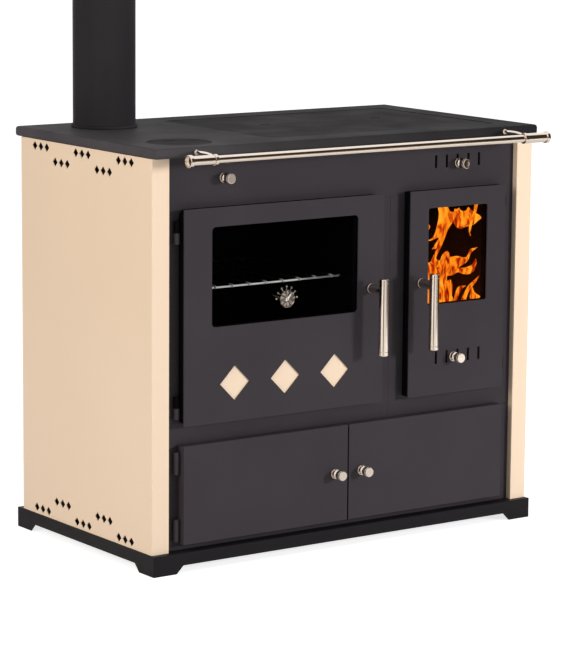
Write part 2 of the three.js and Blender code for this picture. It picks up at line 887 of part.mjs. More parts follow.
// Doors are built round their own lower edge's middle: x = 0, z = 0, and y = 0 on the face plate
function doorPieces(spec) {
  const { prefix, width, window, opening, middle, hingeSide, linerCorner } = spec;
  const half = width / 2;
  const outline = { left: -half, right: half, bottom: 0, top: doorHeight };
  const glazed = {
    left: -half + window.side,
    right: half - window.side,
    bottom: window.bottom,
    top: doorHeight - window.top,
  };
  const localOpening = {
    left: opening.left - middle,
    right: opening.right - middle,
    bottom: opening.bottom - doorBottom,
    top: opening.top - doorBottom,
  };
  const spindle = [spec.spindleX, handleHeight];
  const spindleHole = rodAlongY(spindleDiameter / 2 + play, skinFront - 1, 1, medium)
    .translate(spindle[0], 0, spindle[1]);

  const skinShape = polygon([[-half, 0], [half, 0], [half, doorHeight], [-half, doorHeight]]);
  skinShape.holes.push(roundedRectangle(
    glazed.left, glazed.right, glazed.bottom, glazed.top, window.corner, THREE.Path,
  ));
  for (const hole of spec.skinHoles) {
    skinShape.holes.push(new THREE.Path(hole.map(([x, z]) => new THREE.Vector2(x, z))));
  }
  const plainSkin = cut(plateXZ(skinShape, [skinFront, skinBack]), spindleHole, ...spec.skinCuts);
  const skin = spec.skinJoins.length ? join(plainSkin, ...spec.skinJoins) : plainSkin;

  const rim = grown(outline, -linerInset, linerCorner);
  const rimInside = grown(rim, -linerWall, Math.max(linerCorner - linerWall, 1));
  const windowEdge = grown(glazed, 0, window.corner);
  const windowCollar = grown(glazed, collarWall, window.corner + collarWall);
  const levels = hingeLevels(0, doorHeight, upperHingeDrop, lowerHingeRise);
  const knuckles = levels.map((z) => hingeKnuckle(-hingeSide)
    .translate(hingeSide * (half + hingeRadius), hingeAxisY, z));
  const liner = cut(
    join(
      plateXZ(frameShape(rim, rimInside), [linerFront, linerBack]),
      plateXZ(frameShape(rim, windowEdge), [plateFront, plateBack]),
      plateXZ(frameShape(windowCollar, windowEdge), [glassBack + seat, plateFront]),
      ...knuckles,
    ),
    spindleHole,
    ...spec.linerCuts,
  );

  const pane = grown(glazed, glassMargin, window.corner);
  const glassPlate = plateXZ(
    roundedRectangle(pane.left, pane.right, pane.bottom, pane.top, pane.corner),
    [glassFront, glassBack],
  );
  const glass = spec.glassCuts.length ? cut(glassPlate, ...spec.glassCuts) : glassPlate;

  const gasketInner = grown(localOpening, gasketMargin, openingCorner);
  const gasketOuter = grown(gasketInner, gasketWidth, openingCorner + gasketWidth);
  const gasket = plateXZ(frameShape(gasketOuter, gasketInner), [plateBack + seat, -seat]);

  const { blackEnamel, darkSteel, chrome, steel, fibre } = finishes;
  const sweep = spec.spindleInset - doorOverlap - camClearance;
  const reach = Math.sqrt(sweep ** 2 - (camWidth / 2) ** 2);
  return [
    piece(`${prefix}_door_skin`, skin, blackEnamel),
    piece(`${prefix}_door_liner`, liner, darkSteel),
    piece(`${prefix}_door_glass`, glass, finishes.glass),
    piece(`${prefix}_door_gasket`, gasket, fibre),
    piece(`${prefix}_door_handle`, handle(), chrome, [spindle[0], 0, spindle[1]]),
    piece(`${prefix}_door_latch`, latch(-hingeSide, reach), steel, [spindle[0], 0, spindle[1]]),
  ];
}

function gauge() {
  const radius = gaugeDiameter / 2;
  const rear = glassFront - seat;
  const front = rear - gaugeDepth;
  const stemEnd = glassFront + gaugeStemLength;
  const dial = front + gaugeRimRise;
  const body = turned([
    [0, dial - gaugeRimRise / 2 - needleThickness],
    [needlePostRadius, dial - gaugeRimRise / 2 - needleThickness],
    [needlePostRadius, dial],
    [radius - gaugeRim, dial],
    [radius - gaugeRim / 2, front],
    [radius, dial],
    [radius, rear],
    [gaugeStemDiameter / 2, rear],
    [gaugeStemDiameter / 2, stemEnd],
    [0, stemEnd],
  ], medium);
  const pinY = rear - gaugeDepth / 2;
  const pins = [];
  for (let pin = 0; pin < gaugePins; pin += 1) {
    const angle = 90 + (pin / (gaugePins - 1) - 0.5) * gaugePinSpread;
    const turn = THREE.MathUtils.degToRad(90 - angle);
    const rod = rodAlongZ(gaugePinRadius, radius - gaugeRim, gaugePinReach, thinRod);
    const ball = new THREE.SphereGeometry(gaugeBallRadius, coarse, thinRod)
      .translate(0, 0, gaugePinReach);
    pins.push(join(rod, ball).rotateY(turn).translate(0, pinY, 0));
  }
  return join(body, ...pins);
}

function needle() {
  const blade = plateXZ(polygon([
    [-needleTail, -needleWidth / 2],
    [needleLength * 0.7, -needleWidth / 2],
    [needleLength, 0],
    [needleLength * 0.7, needleWidth / 2],
    [-needleTail, needleWidth / 2],
  ]), [-needleThickness, 0]);
  return cut(
    join(blade, rodAlongY(needleHubRadius, -needleThickness, 0, medium)),
    rodAlongY(needlePostRadius + play, -1, 1, medium),
  );
}

function ovenDoor() {
  const group = new THREE.Group();
  group.position.set(ovenDoorMiddle, 0, doorBottom);
  const lozenges = [];
  for (let place = 0; place < lozengeCount; place += 1) {
    lozenges.push(lozenge((place - (lozengeCount - 1) / 2) * lozengePitch, lozengeHeight, lozengeHalf));
  }
  const stemHole = rodAlongY(gaugeStemDiameter / 2 + seat, glassFront - 1, glassBack + 1, medium)
    .translate(0, 0, gaugeHeight);
  group.add(...doorPieces({
    prefix: 'oven',
    width: ovenDoorWidth,
    window: {
      side: ovenWindowSide,
      top: ovenWindowTop,
      bottom: ovenWindowBottom,
      corner: ovenWindowCorner,
    },
    opening: ovenOpening,
    middle: ovenDoorMiddle,
    hingeSide: -1,
    linerCorner: ovenLinerCorner,
    spindleInset: ovenSpindleInset,
    spindleX: ovenDoorWidth / 2 - ovenSpindleInset,
    skinHoles: lozenges,
    skinCuts: [],
    skinJoins: [],
    linerCuts: [],
    glassCuts: [stemHole],
  }));
  const inlayHalf = lozengePitch * (lozengeCount - 1) / 2 + lozengeHalf + inlayMargin;
  group.add(piece('oven_door_inlay', block(
    [-inlayHalf, inlayHalf],
    [linerFront, linerFront + inlayThickness],
    [lozengeHeight - lozengeHalf - inlayMargin, lozengeHeight + lozengeHalf + inlayMargin],
  ), finishes.creamEnamel));
  group.add(piece('oven_thermometer', gauge(), finishes.chrome, [0, 0, gaugeHeight]));
  const dialFace = glassFront - seat - gaugeDepth + gaugeRimRise;
  const pointer = piece('oven_thermometer_needle', needle(), finishes.needleRed);
  pointer.position.set(0, dialFace - seat, gaugeHeight);
  pointer.rotation.y = -THREE.MathUtils.degToRad(needleAngle);
  group.add(pointer);
  return group;
}

function fireDoor() {
  const group = new THREE.Group();
  group.position.set(fireDoorMiddle, 0, doorBottom);
  const airInlet = block(
    [primaryAirShift - sliderHalfWidth, primaryAirShift + sliderHalfWidth],
    [plateFront - 1, plateBack + 1],
    [primaryAirHeight - airSlotHeight / 2, primaryAirHeight + airSlotHeight / 2],
  );
  group.add(...doorPieces({
    prefix: 'fire',
    width: fireDoorWidth,
    window: {
      side: fireWindowSide,
      top: fireWindowTop,
      bottom: fireWindowBottom,
      corner: fireWindowCorner,
    },
    opening: fireOpening,
    middle: fireDoorMiddle,
    hingeSide: 1,
    linerCorner: fireLinerCorner,
    spindleInset: fireSpindleInset,
    spindleX: -fireDoorWidth / 2 + fireSpindleInset,
    skinHoles: [],
    skinCuts: [
      ...airSlotPaths(primaryAirShift, primaryAirHeight),
      stemPath(primaryAirShift + primaryKnobShift, primaryAirHeight - primaryKnobDrop),
    ],
    skinJoins: airGuides(primaryAirShift, primaryAirHeight, skinBack),
    linerCuts: [airInlet],
    glassCuts: [],
  }));
  const { chrome, darkSteel } = finishes;
  const slider = airSlider(primaryKnobShift, primaryKnobDrop);
  group.add(piece('primary_air_slider', slider, darkSteel, [primaryAirShift, linerFront, primaryAirHeight]));
  const stemEnd = skinThickness + seat + airSliderThickness;
  group.add(piece('primary_air_knob', knob(stemEnd), chrome, [
    primaryAirShift + primaryKnobShift,
    skinFront,
    primaryAirHeight - primaryKnobDrop,
  ]));
  return group;
}

function secondaryAir() {
  const group = new THREE.Group();
  group.position.set(fireDoorMiddle + secondaryAirShift, 0, controlLevel);
  const slider = airSlider(secondaryKnobShift, secondaryKnobDrop);
  group.add(piece('secondary_air_slider', slider, finishes.darkSteel, [
    0,
    faceBack + seat,
    secondaryKnobDrop,
  ]));
  const stemEnd = faceBack + seat + airSliderThickness;
  group.add(piece('secondary_air_knob', knob(stemEnd), finishes.chrome, [secondaryKnobShift, 0, 0]));
  return group;
}

// ---------------------------------------------------------------- storage doors

function storageDoor(side) {
  const middle = storageSeam + side * (storageDoorGap + storageDoorWidth) / 2;
  const half = storageDoorWidth / 2;
  const group = new THREE.Group();
  group.position.set(middle, 0, storageDoorBottom);
  const pan = cut(
    block([-half, half], [skinFront, linerBack], [0, storageDoorHeight]),
    block(
      [-half + storageReturn, half - storageReturn],
      [skinFront + storageSkin, 0],
      [storageReturn, storageDoorHeight - storageReturn],
    ),
  );
  const levels = hingeLevels(0, storageDoorHeight, storageHingeDrop, storageHingeRise);
  const knuckles = levels.map((z) => hingeKnuckle(-side)
    .translate(side * (half + hingeRadius), hingeAxisY, z));
  const label = side < 0 ? 'left' : 'right';
  const knobX = side < 0 ? half - storageKnobInset : -half + storageKnobInset;
  const screwHole = rodAlongY(stemDiameter / 2 + seat, skinFront - 1, linerBack, medium)
    .translate(knobX, 0, storageKnobHeight);
  const door = cut(join(pan, ...knuckles), screwHole);
  group.add(piece(`storage_door_${label}`, door, finishes.blackEnamel));
  group.add(piece(
    `storage_knob_${label}`,
    knob(storageSkin + seat),
    finishes.chrome,
    [knobX, skinFront, storageKnobHeight],
  ));
  return group;
}

// ---------------------------------------------------------------- oven, firebox and damper

function oven() {
  const group = new THREE.Group();
  const { left, right, bottom, top } = ovenOpening;
  const shell = cut(
    block(
      [left - ovenSheet, right + ovenSheet],
      [insideFront, ovenBack],
      [bottom - ovenSheet, top + ovenSheet],
    ),
    block([left, right], [insideFront - 1, ovenBack - ovenSheet], [bottom, top]),
  );
  const runnerTop = rackLevel - rackRailRadius - seat;
  const runnerZ = [runnerTop - runnerThickness, runnerTop];
  const runnerY = [insideFront + runnerWidth, ovenBack - ovenSheet / 2];
  const liner = join(
    shell,
    block([left - ovenSheet / 2, left + runnerWidth], runnerY, runnerZ),
    block([right - runnerWidth, right + ovenSheet / 2], runnerY, runnerZ),
  );
  group.add(piece('oven_liner', liner, finishes.ovenEnamel));
  group.add(piece('oven_rack', ovenRack(right - left - 2 * rackSideGap), finishes.steel, [
    (left + right) / 2,
    rackFromFront,
    rackLevel,
  ]));
  return group;
}

function ovenRack(width) {
  const half = width / 2 - rackRailRadius;
  const rail = (y) => rodAlongX(rackRailRadius, -half, half, coarse).translate(0, y, 0);
  const sideRail = (x) => rodAlongY(rackRailRadius, 0, rackDepth, coarse).translate(x, 0, 0);
  const wires = [];
  const count = Math.floor((width / 2 - rackWirePitch / 2) / rackWirePitch);
  for (let wire = -count; wire <= count; wire += 1) {
    wires.push(
      rodAlongY(rackWireRadius, -rackOverhang, rackDepth + rackOverhang, thinRod)
        .translate(wire * rackWirePitch, 0, rackRailRadius),
    );
  }
  return join(rail(0), rail(rackDepth), sideRail(-half), sideRail(half), ...wires);
}

function firebox() {
  const group = new THREE.Group();
  const { castIron, firebrick, steel } = finishes;
  const hole = [
    [ashMiddle - ashHoleWidth / 2, ashMiddle + ashHoleWidth / 2],
    [insideFront + ashHoleFromFront, insideFront + ashHoleFromFront + ashHoleDepth],
  ];
  const hearth = cut(
    block([partitionRight + seat, insideHalf], [insideFront, insideBack], [hearthBottom, hearthTop]),
    block(...hole, [hearthBottom - 1, hearthTop + 1]),
  );
  group.add(piece('hearth_plate', hearth, castIron));
  const brickZ = [brickBottom, brickBottom + brickHeight];
  const brickY = [insideFront, insideFront + fireboxDepth];
  const leftBrick = block([fireboxLeft - brickThickness, fireboxLeft], brickY, brickZ);
  const rightBrick = block([fireboxRight, fireboxRight + brickThickness], brickY, brickZ);
  const backBrick = block(
    [fireboxLeft - brickThickness, fireboxRight + brickThickness],
    [brickY[1] + brickGap, brickY[1] + brickGap + brickThickness],
    brickZ,
  );
  group.add(piece('firebrick_left', leftBrick, firebrick));
  group.add(piece('firebrick_right', rightBrick, firebrick));
  group.add(piece('firebrick_back', backBrick, firebrick));
  group.add(piece('fire_grate', grate(), castIron, [
    ashMiddle,
    insideFront + ashHoleFromFront + ashHoleDepth / 2,
    brickBottom,
  ]));
  group.add(piece('ash_pan', ashPan(), steel, [ashMiddle, ashPanFromFront, ceilingTop + seat]));
  return group;
}

function grate() {
  const halfX = ashHoleWidth / 2 + grateLap;
  const halfY = ashHoleDepth / 2 + grateLap;
  const plate = block([-halfX, halfX], [-halfY, halfY], [0, grateThickness]);
  const pitch = (2 * halfX - 2 * grateFrame) / grateBars;
  const slots = [];
  for (let slot = 0; slot < grateBars; slot += 1) {
    const x = -halfX + grateFrame + (slot + 0.5) * pitch;
    slots.push(block(
      [x - grateSlotWidth / 2, x + grateSlotWidth / 2],
      [-halfY + grateFrame, halfY - grateFrame],
      [-1, grateThickness + 1],
    ));
  }
  return cut(plate, ...slots);
}

function ashPan() {
  const half = ashPanWidth / 2;
  const tray = cut(
    block([-half, half], [0, ashPanDepth], [0, ashPanHeight]),
    block(
      [-half + ashPanSheet, half - ashPanSheet],
      [ashPanSheet, ashPanDepth - ashPanSheet],
      [ashPanSheet, ashPanHeight + 1],
    ),
  );
  const grip = ashHandleWidth / 2;
  const bar = ashHandleSection;
  const level = [ashPanHeight / 2 - bar / 2, ashPanHeight / 2 + bar / 2];
  return join(
    tray,
    block([-grip, -grip + bar], [-ashHandleReach, ashPanSheet / 2], level),
    block([grip - bar, grip], [-ashHandleReach, ashPanSheet / 2], level),
    block([-grip, grip], [-ashHandleReach, -ashHandleReach + bar], level),
  );
}

function damper() {
  const group = new THREE.Group();
  const { darkSteel, steel, chrome } = finishes;
  const { left, right, front, back, bottom, top } = flueBox;
  const wall = innerSheet;
  const plan = polygon([
    [left, back],
    [left, front],
    [right, front],
    [right, back],
    [right - wall, back],
    [right - wall, front + wall],
    [left + wall, front + wall],
    [left + wall, back],
  ]);
  const through = [front - 1, front + wall + 1];
  const windowPane = cut(
    rodAlongY(damperWindowDiameter / 2, ...through, medium),
    block([-damperBarWidth / 2, damperBarWidth / 2], through, [-damperWindowDiameter, damperWindowDiameter]),
  );
  const rodHole = rodAlongY(damperRodDiameter / 2 + play, ...through, medium);
  const box = cut(
    plateXY(plan, [bottom, top]),
    windowPane.translate(damperX, 0, damperLevel),
    rodHole.translate(damperX, 0, damperLevel),
  );
  group.add(piece('flue_box', box, darkSteel));
  const rod = damperRodDiameter / 2;
  const discRear = front - seat;
  const discFront = discRear - damperDiscThickness;
  const disc = turned([
    [0, 0],
    [rod, 0],
    [rod, discFront],
    [damperDiscDiameter / 2, discFront],
    [damperDiscDiameter / 2, discRear],
    [rod, discRear],
    [rod, discRear + damperRodTail],
    [0, discRear + damperRodTail],
  ], medium);
  group.add(piece('flue_damper', disc, steel, [damperX, 0, damperLevel]));
  group.add(piece('flue_damper_knob', turned([...knobProfile(), [0, -seat]], medium), chrome, [
    damperX,
    0,
    damperLevel,
  ]));
  return group;
}

// ---------------------------------------------------------------- cooktop

function hobOutline(left, right, roundLeft, roundRight) {
  const { front, back } = hob;
  const shape = new THREE.Shape();
  const leftRadius = roundLeft ? hobCorner : 1;
  const rightRadius = roundRight ? hobCorner : 1;
  shape.moveTo(left + leftRadius, front);
  shape.absarc(right - rightRadius, front + rightRadius, rightRadius, -Math.PI / 2, 0);
  shape.absarc(right - rightRadius, back - rightRadius, rightRadius, 0, Math.PI / 2);
  shape.absarc(left + leftRadius, back - leftRadius, leftRadius, Math.PI / 2, Math.PI);
  shape.absarc(left + leftRadius, front + leftRadius, leftRadius, Math.PI, Math.PI * 1.5);
  return shape;
}

function cooktopFrame() {
  const rounding = slabRounding;
  const outline = roundedRectangle(
    -slabHalf + rounding,
    slabHalf - rounding,
    slabFront + rounding,
    slabBack - rounding,
    slabCorner,
  );
  const slab = new THREE.ExtrudeGeometry(outline, {
    depth: slabThickness - 2 * rounding,
    bevelThickness: rounding,
    bevelSize: rounding,
    bevelSegments: 2,
    curveSegments: cornerSteps,
  }).translate(0, 0, slabBottom + rounding);
  const underside = slabBottom - 1;
  const overTop = cooktopHeight + 1;
  const hollowTop = cooktopHeight - slabPlate;
  const hollow = cut(
    block(
      [-insideHalf, insideHalf],
      [insideFront, insideBack],
      [underside, hollowTop],
    ),
    block(
      [hob.left - hobBand, hob.right + hobBand],
      [hob.front - hobBand, hob.back + hobBand],
      [underside - 1, overTop],
    ),
    rodAlongZ(lidDiameter / 2 + hobBand, underside - 1, overTop, fine).translate(lidX, lidY, 0),
  );
  const wells = [[hob.left, hobSeam - bridgeWidth / 2 + hobLedge], [hobSeam + bridgeWidth / 2 - hobLedge, hob.right]]
    .map(([left, right]) => block(
      [left + hobLedge, right - hobLedge],
      [hob.front + hobLedge, hob.back - hobLedge],
      [underside, overTop],
    ));
  return cut(
    slab,
    hollow,
    ...wells,
    plateXY(hobOutline(hob.left, hob.right, true, true), [ledgeTop, overTop]),
    rodAlongZ(lidDiameter / 2, ledgeTop, overTop, fine).translate(lidX, lidY, 0),
    rodAlongZ(lidDiameter / 2 - lidLedge, underside, overTop, fine).translate(lidX, lidY, 0),
    rodAlongZ(spigotRadius - spigotWall, underside, overTop, fine).translate(flueX, flueY, 0),
  );
}

function lifterSlot(x, y, top, thickness) {
  return plateXY(
    roundedRectangle(
      x - lifterLength / 2,
      x + lifterLength / 2,
      y - lifterWidth / 2,
      y + lifterWidth / 2,
      lifterWidth / 2 - 0.5,
    ),
    [top - thickness / 2, top + 1],
  );
}

function hobPlates() {
  const group = new THREE.Group();
  const { castIron } = finishes;
  const levels = [hobBottom, hobTop];
  const leftShape = hobOutline(hob.left + slip, hobSeam - slip / 2, true, false);
  const leftPlate = cut(
    plateXY(leftShape, levels),
    lifterSlot((hob.left + hobSeam) / 2, discY + lifterInset, hobTop, hobThickness),
  );
  group.add(piece('hob_plate_left', leftPlate, castIron));
  const discHole = discDiameter / 2 + slip / 2;
  const discBottom = hobTop - discThickness;
  const rightPlate = cut(
    plateXY(hobOutline(hobSeam + slip / 2, hob.right - slip, false, true), levels),
    rodAlongZ(discHole, discBottom - seat, hobTop + 1, fine).translate(discX, discY, 0),
    rodAlongZ(discHole - discLedge, hobBottom - 1, hobTop + 1, fine).translate(discX, discY, 0),
  );
  group.add(piece('hob_plate_right', rightPlate, castIron));
  const disc = cut(
    rodAlongZ(discDiameter / 2, discBottom, hobTop, fine),
    lifterSlot(0, lifterInset, hobTop, discThickness),
  );
  group.add(piece('hob_disc', disc, castIron, [discX, discY, 0]));
  const lid = cut(
    rodAlongZ(lidDiameter / 2 - slip, hobBottom, hobTop, fine),
    lifterSlot(0, lifterInset, hobTop, hobThickness),
  );
  group.add(piece('cleaning_lid', lid, castIron, [lidX, lidY, 0]));
  return group;
}

function flue() {
  const group = new THREE.Group();
  group.position.set(flueX, flueY, 0);
  const outer = pipeDiameter / 2;
  const collar = turnedAlongZ([
    [spigotRadius - spigotWall, collarBottom],
    [outer + collarFlange, collarBottom],
    [outer + collarFlange, collarBottom + collarHeight - 2],
    [outer + collarFlange - 2, collarBottom + collarHeight],
    [spigotRadius, collarBottom + collarHeight],
    [spigotRadius, collarBottom + spigotHeight],
    [spigotRadius - spigotWall, collarBottom + spigotHeight],
    [spigotRadius - spigotWall, collarBottom],
  ], fine);
  group.add(piece('flue_collar', collar, finishes.castIron));
  const pipe = turnedAlongZ(
    ringProfile(outer - pipeWall, outer, pipeBottom, pipeBottom + pipeLength),
    fine,
  );
  group.add(piece('flue_pipe', pipe, finishes.pipeBlack));
  return group;
}

function rail() {
  const group = new THREE.Group();
  group.position.set(0, railY, railZ);
  const { chrome } = finishes;
  const radius = railDiameter / 2;
  const tube = turnedAlongX(ringProfile(radius - railWall, radius, -railHalfLength, railHalfLength), medium);
  group.add(piece('rail_tube', tube, chrome));
  for (const [label, side] of [['left', -1], ['right', 1]]) {
    const eyeX = side * (railHalfLength - railEyeFromEnd);
    group.add(piece(`rail_bracket_${label}`, railBracket(), chrome, [eyeX, 0, 0]));
    const finial = piece(`rail_finial_${label}`, railFinial(), chrome, [eyeX, 0, 0]);
    finial.rotation.z = side < 0 ? Math.PI : 0;
    group.add(finial);
  }
  return group;
}

// Sleeve and cap over the rail's end; x = 0 is the middle of the bracket's eye
function railFinial() {
  const bore = railDiameter / 2 + seat;
  const sleeve = bore + railSleeveWall;
  const start = railEyeWidth / 2 + seat;
  const end = railEyeFromEnd + seat;
  const cap = railCapDiameter / 2;
  return turnedAlongX([
    [bore, start],
    [sleeve, start],
    [sleeve, end],
    [cap, end],
    [cap, end + railCapLength - 1],
    [cap - 1, end + railCapLength],
    [bore / 2, end + railCapLength],
    [bore / 2, end + railCapLength - railCapRecess],
    [0, end + railCapLength - railCapRecess],
    [0, end],
    [bore, end],
    [bore, start],
  ], medium);
}

function railBracket() {
  const bore = railDiameter / 2 + seat;
  const eye = rodAlongX(bore + railEyeWall, -railEyeWidth / 2, railEyeWidth / 2, medium);
  const rootY = slabFront - railY - seat;
  const rootZ = slabBottom + railArmHeight - railZ;
  const path = new THREE.CatmullRomCurve3([
    new THREE.Vector3(0, rootY - 1, rootZ),
    new THREE.Vector3(0, rootY * 0.7, rootZ + 1),
    new THREE.Vector3(0, rootY * 0.35, rootZ * 0.5 + bore * 0.6),
    new THREE.Vector3(0, bore / 2, bore * 0.8),
  ]);
  const section = new THREE.Shape();
  section.absarc(0, 0, railArmDiameter / 2, 0, Math.PI * 2);
  const arm = new THREE.ExtrudeGeometry(section, { steps: 6, extrudePath: path, curveSegments: 4 });
  const rosette = rodAlongY(rosetteDiameter / 2, rootY - rosetteThickness, rootY, medium)
    .translate(0, 0, rootZ);
  return cut(join(eye, arm, rosette), rodAlongX(bore, -railEyeWidth, railEyeWidth, medium));
}

// ---------------------------------------------------------------- the stove

const stove = new THREE.Group();
stove.add(casing());
stove.add(oven());
stove.add(firebox());
stove.add(damper());
stove.add(ovenDoor());
stove.add(fireDoor());
stove.add(secondaryAir());
stove.add(storageDoor(-1));
stove.add(storageDoor(1));
stove.add(piece('cooktop_frame', cooktopFrame(), finishes.castIron));
stove.add(hobPlates());
stove.add(flue());
stove.add(rail());

const frontmost = railY - railCapDiameter / 2;
stove.position.set(0, -(frontmost + slabBack) / 2, 0);

export default stove;
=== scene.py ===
"""Wood cookstove: the visible pieces, their finishes, the stage and the camera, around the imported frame."""

import json
import math

import bmesh
import bpy
from mathutils import Matrix, Vector, noise


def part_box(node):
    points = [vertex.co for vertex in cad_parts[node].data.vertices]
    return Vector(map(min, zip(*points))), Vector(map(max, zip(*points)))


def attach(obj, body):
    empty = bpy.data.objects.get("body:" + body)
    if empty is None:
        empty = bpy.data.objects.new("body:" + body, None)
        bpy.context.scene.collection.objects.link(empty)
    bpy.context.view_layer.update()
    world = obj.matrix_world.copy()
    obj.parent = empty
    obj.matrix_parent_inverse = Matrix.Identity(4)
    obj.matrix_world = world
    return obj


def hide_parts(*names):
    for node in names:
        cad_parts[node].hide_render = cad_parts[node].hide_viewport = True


bl_info = {
    "name": "Wood cookstove",
    "version": (1, 0, 0),
    "blender": (4, 5, 0),
    "location": "View3D > Sidebar > Cookstove",
    "description": "Builds the visible pieces and finishes of a wood cookstove around its packed frame",
    "category": "Object",
}

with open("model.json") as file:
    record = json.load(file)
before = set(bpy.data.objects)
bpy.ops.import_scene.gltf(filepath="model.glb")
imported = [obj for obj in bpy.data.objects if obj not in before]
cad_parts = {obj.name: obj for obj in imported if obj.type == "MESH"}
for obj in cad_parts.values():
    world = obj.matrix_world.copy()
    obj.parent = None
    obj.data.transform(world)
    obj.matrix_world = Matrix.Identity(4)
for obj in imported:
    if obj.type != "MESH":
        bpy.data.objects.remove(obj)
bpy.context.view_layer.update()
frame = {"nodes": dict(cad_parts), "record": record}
BODY_OF = {n: body for body, nodes in frame["record"]["behaviour"]["bodies"].items() for n in nodes}


def span(node, axis):
    """A node's length along x, y or z, in metres."""
    low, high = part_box(node)
    return getattr(high, axis) - getattr(low, axis)


# ---------------------------------------------------------------- sizes and colours


def length(name, description, default):
    """A length that the user can change."""
    return bpy.props.FloatProperty(
        name=name, description=description, default=default, min=0.0, precision=4, unit="LENGTH"
    )


def colour(name, description, default):
    """A colour that the user can change."""
    return bpy.props.FloatVectorProperty(
        name=name, description=description, default=default, size=3, min=0.0, max=1.0, subtype="COLOR"
    )


class CookstoveSizes(bpy.types.PropertyGroup):
    """Sizes of the looks that the solids leave open"""

    sheet_edge: length("Sheet edge", "Rounding of the edges of enamelled sheet", 0.0005)
    fold: length("Fold", "Outside rounding of the side panels' folds", 0.0022)
    plinth_edge: length("Plinth edge", "Rounding of the plinth's edges", 0.0014)
    casting_edge: length("Casting edge", "Rounding of the edges of the hob plates and the lids", 0.0024)
    brick_edge: length("Brick edge", "Rounding of the firebricks' edges", 0.002)
    handle_diameter: length("Handle", "Diameter of the doors' handles", span("oven_door_handle", "x"))
    rail_diameter: length("Rail", "Diameter of the rail", span("rail_tube", "z"))
    knob_diameter: length("Knob", "Diameter of the knobs' bodies", 0.0205)
    rack_wire: length("Rack wire", "Diameter of the rack's thin wires", 0.0036)
    rack_rail: length("Rack rail", "Diameter of the rack's frame", 0.0042)
    rack_pitch: length("Rack pitch", "Spacing of the rack's thin wires", 0.0415)
    dial_diameter: length("Dial", "Diameter of the thermometer's dial", 0.036)
    flame_height: length("Flames", "Height of the flames over the grate", 0.315)


class CookstoveColours(bpy.types.PropertyGroup):
    """Colours of the finishes"""

    black_enamel: colour("Charcoal enamel", "Doors and face plate", (0.0400, 0.0338, 0.0400))
    plinth_black: colour("Plinth enamel", "Plinth", (0.010, 0.0088, 0.0105))
    cream_enamel: colour("Cream enamel", "Side panels and lozenges", (0.93, 0.73, 0.545))
    frame_iron: colour("Cooktop frame", "Blacked iron of the cooktop's frame", (0.038, 0.035, 0.038))
    plate_iron: colour("Hob plates", "Blacked iron of the hob plates", (0.033, 0.030, 0.0325))
    pipe_black: colour("Flue enamel", "Flue pipe", (0.031, 0.028, 0.031))
    dark_steel: colour("Dark steel", "Inner casing, back and air sliders", (0.012, 0.0115, 0.0125))
    # painted shade: the door liners are painted darker than dark steel so that the gaps round the doors read as deep
    # shadow
    liner_painted_shade: colour("Liner black", "Door liners, the dark gaps round the doors", (0.0022, 0.0019, 0.0022))
    oven_enamel: colour("Oven enamel", "Inside of the oven", (0.0022, 0.0020, 0.0024))
    steel: colour("Steel", "Latches, inner casing, ash pan and rack", (0.46, 0.455, 0.45))
    chrome: colour("Chrome", "Handles, knobs, rail and thermometer", (0.87, 0.76, 0.655))
    firebrick: colour("Firebrick", "Lining of the firebox", (0.42, 0.33, 0.22))
    fibre: colour("Fibre rope", "Door gaskets", (0.055, 0.052, 0.048))
    needle: colour("Needle", "Thermometer needle", (0.93, 0.90, 0.84))
    glass: colour("Glass", "Tint of the windows", (0.002, 0.002, 0.0025))
    flame_core: colour("Flame core", "Hottest part of the flames", (1.0, 0.58, 0.075))
    flame_body: colour("Flame body", "Main part of the flames", (0.96, 0.235, 0.008))
    flame_tip: colour("Flame tip", "Coolest part of the flames", (0.42, 0.022, 0.001))
    floor: colour("Floor", "Floor of the stage", (0.72, 0.72, 0.72))
    card: colour("Dark cards", "Studio cards that the bright metal mirrors", (0.045, 0.030, 0.020))
    grey_card: colour("Grey card", "Low studio card that the knobs mirror", (0.42, 0.40, 0.385))


def sizes():
    """The sizes as they are set in the scene."""
    return bpy.context.scene.cookstove_sizes


def colours():
    """The colours as they are set in the scene."""
    return bpy.context.scene.cookstove_colours


# ---------------------------------------------------------------- finishes


def put(tree, kind, inputs=None, **settings):
    """A shader node with its settings, and its inputs linked or set."""
    made = tree.nodes.new(kind)
    for key, value in settings.items():
        setattr(made, key, value)
    feed(tree, made, inputs or {})
    return made


def feed(tree, node, inputs):
    """Links or sets a node's inputs."""
    for key, value in inputs.items():
        if isinstance(value, bpy.types.NodeSocket):
            tree.links.new(value, node.inputs[key])
        else:
            node.inputs[key].default_value = value


def calc(tree, operation, *values):
    """One step of arithmetic on sockets and numbers."""
    return put(tree, "ShaderNodeMath", dict(enumerate(values)), operation=operation).outputs[0]


def remap(tree, value, limits, results=(0.0, 1.0)):
    """A value carried from its limits to the results."""
    return put(tree, "ShaderNodeMapRange", {
        "Value": value, "From Min": limits[0], "From Max": limits[1], "To Min": results[0], "To Max": results[1],
    }).outputs["Result"]


def blend(tree, factor, first, second, how="MIX"):
    """Two colours mixed by a factor."""
    return put(
        tree, "ShaderNodeMix", {"Factor": factor, "A": first, "B": second}, data_type="RGBA", blend_type=how
    ).outputs["Result"]


def rgba(rgb, factor=1.0):
    """The colour times a factor, with its alpha."""
    return (*(min(1.0, channel * factor) for channel in rgb), 1.0)


def start_finish(name):
    """A new material with its tree, its shader and the piece's own coordinates."""
    made = bpy.data.materials.new(f"{name}_finish")
    made.use_nodes = True
    tree = made.node_tree
    shader = tree.nodes["Principled BSDF"]
    here = put(tree, "ShaderNodeTexCoord").outputs["Object"]
    return made, tree, shader, here


def stretched(tree, here, scale):
    """The coordinates times a scale for each axis."""
    return put(tree, "ShaderNodeMapping", {"Vector": here, "Scale": scale}).outputs["Vector"]


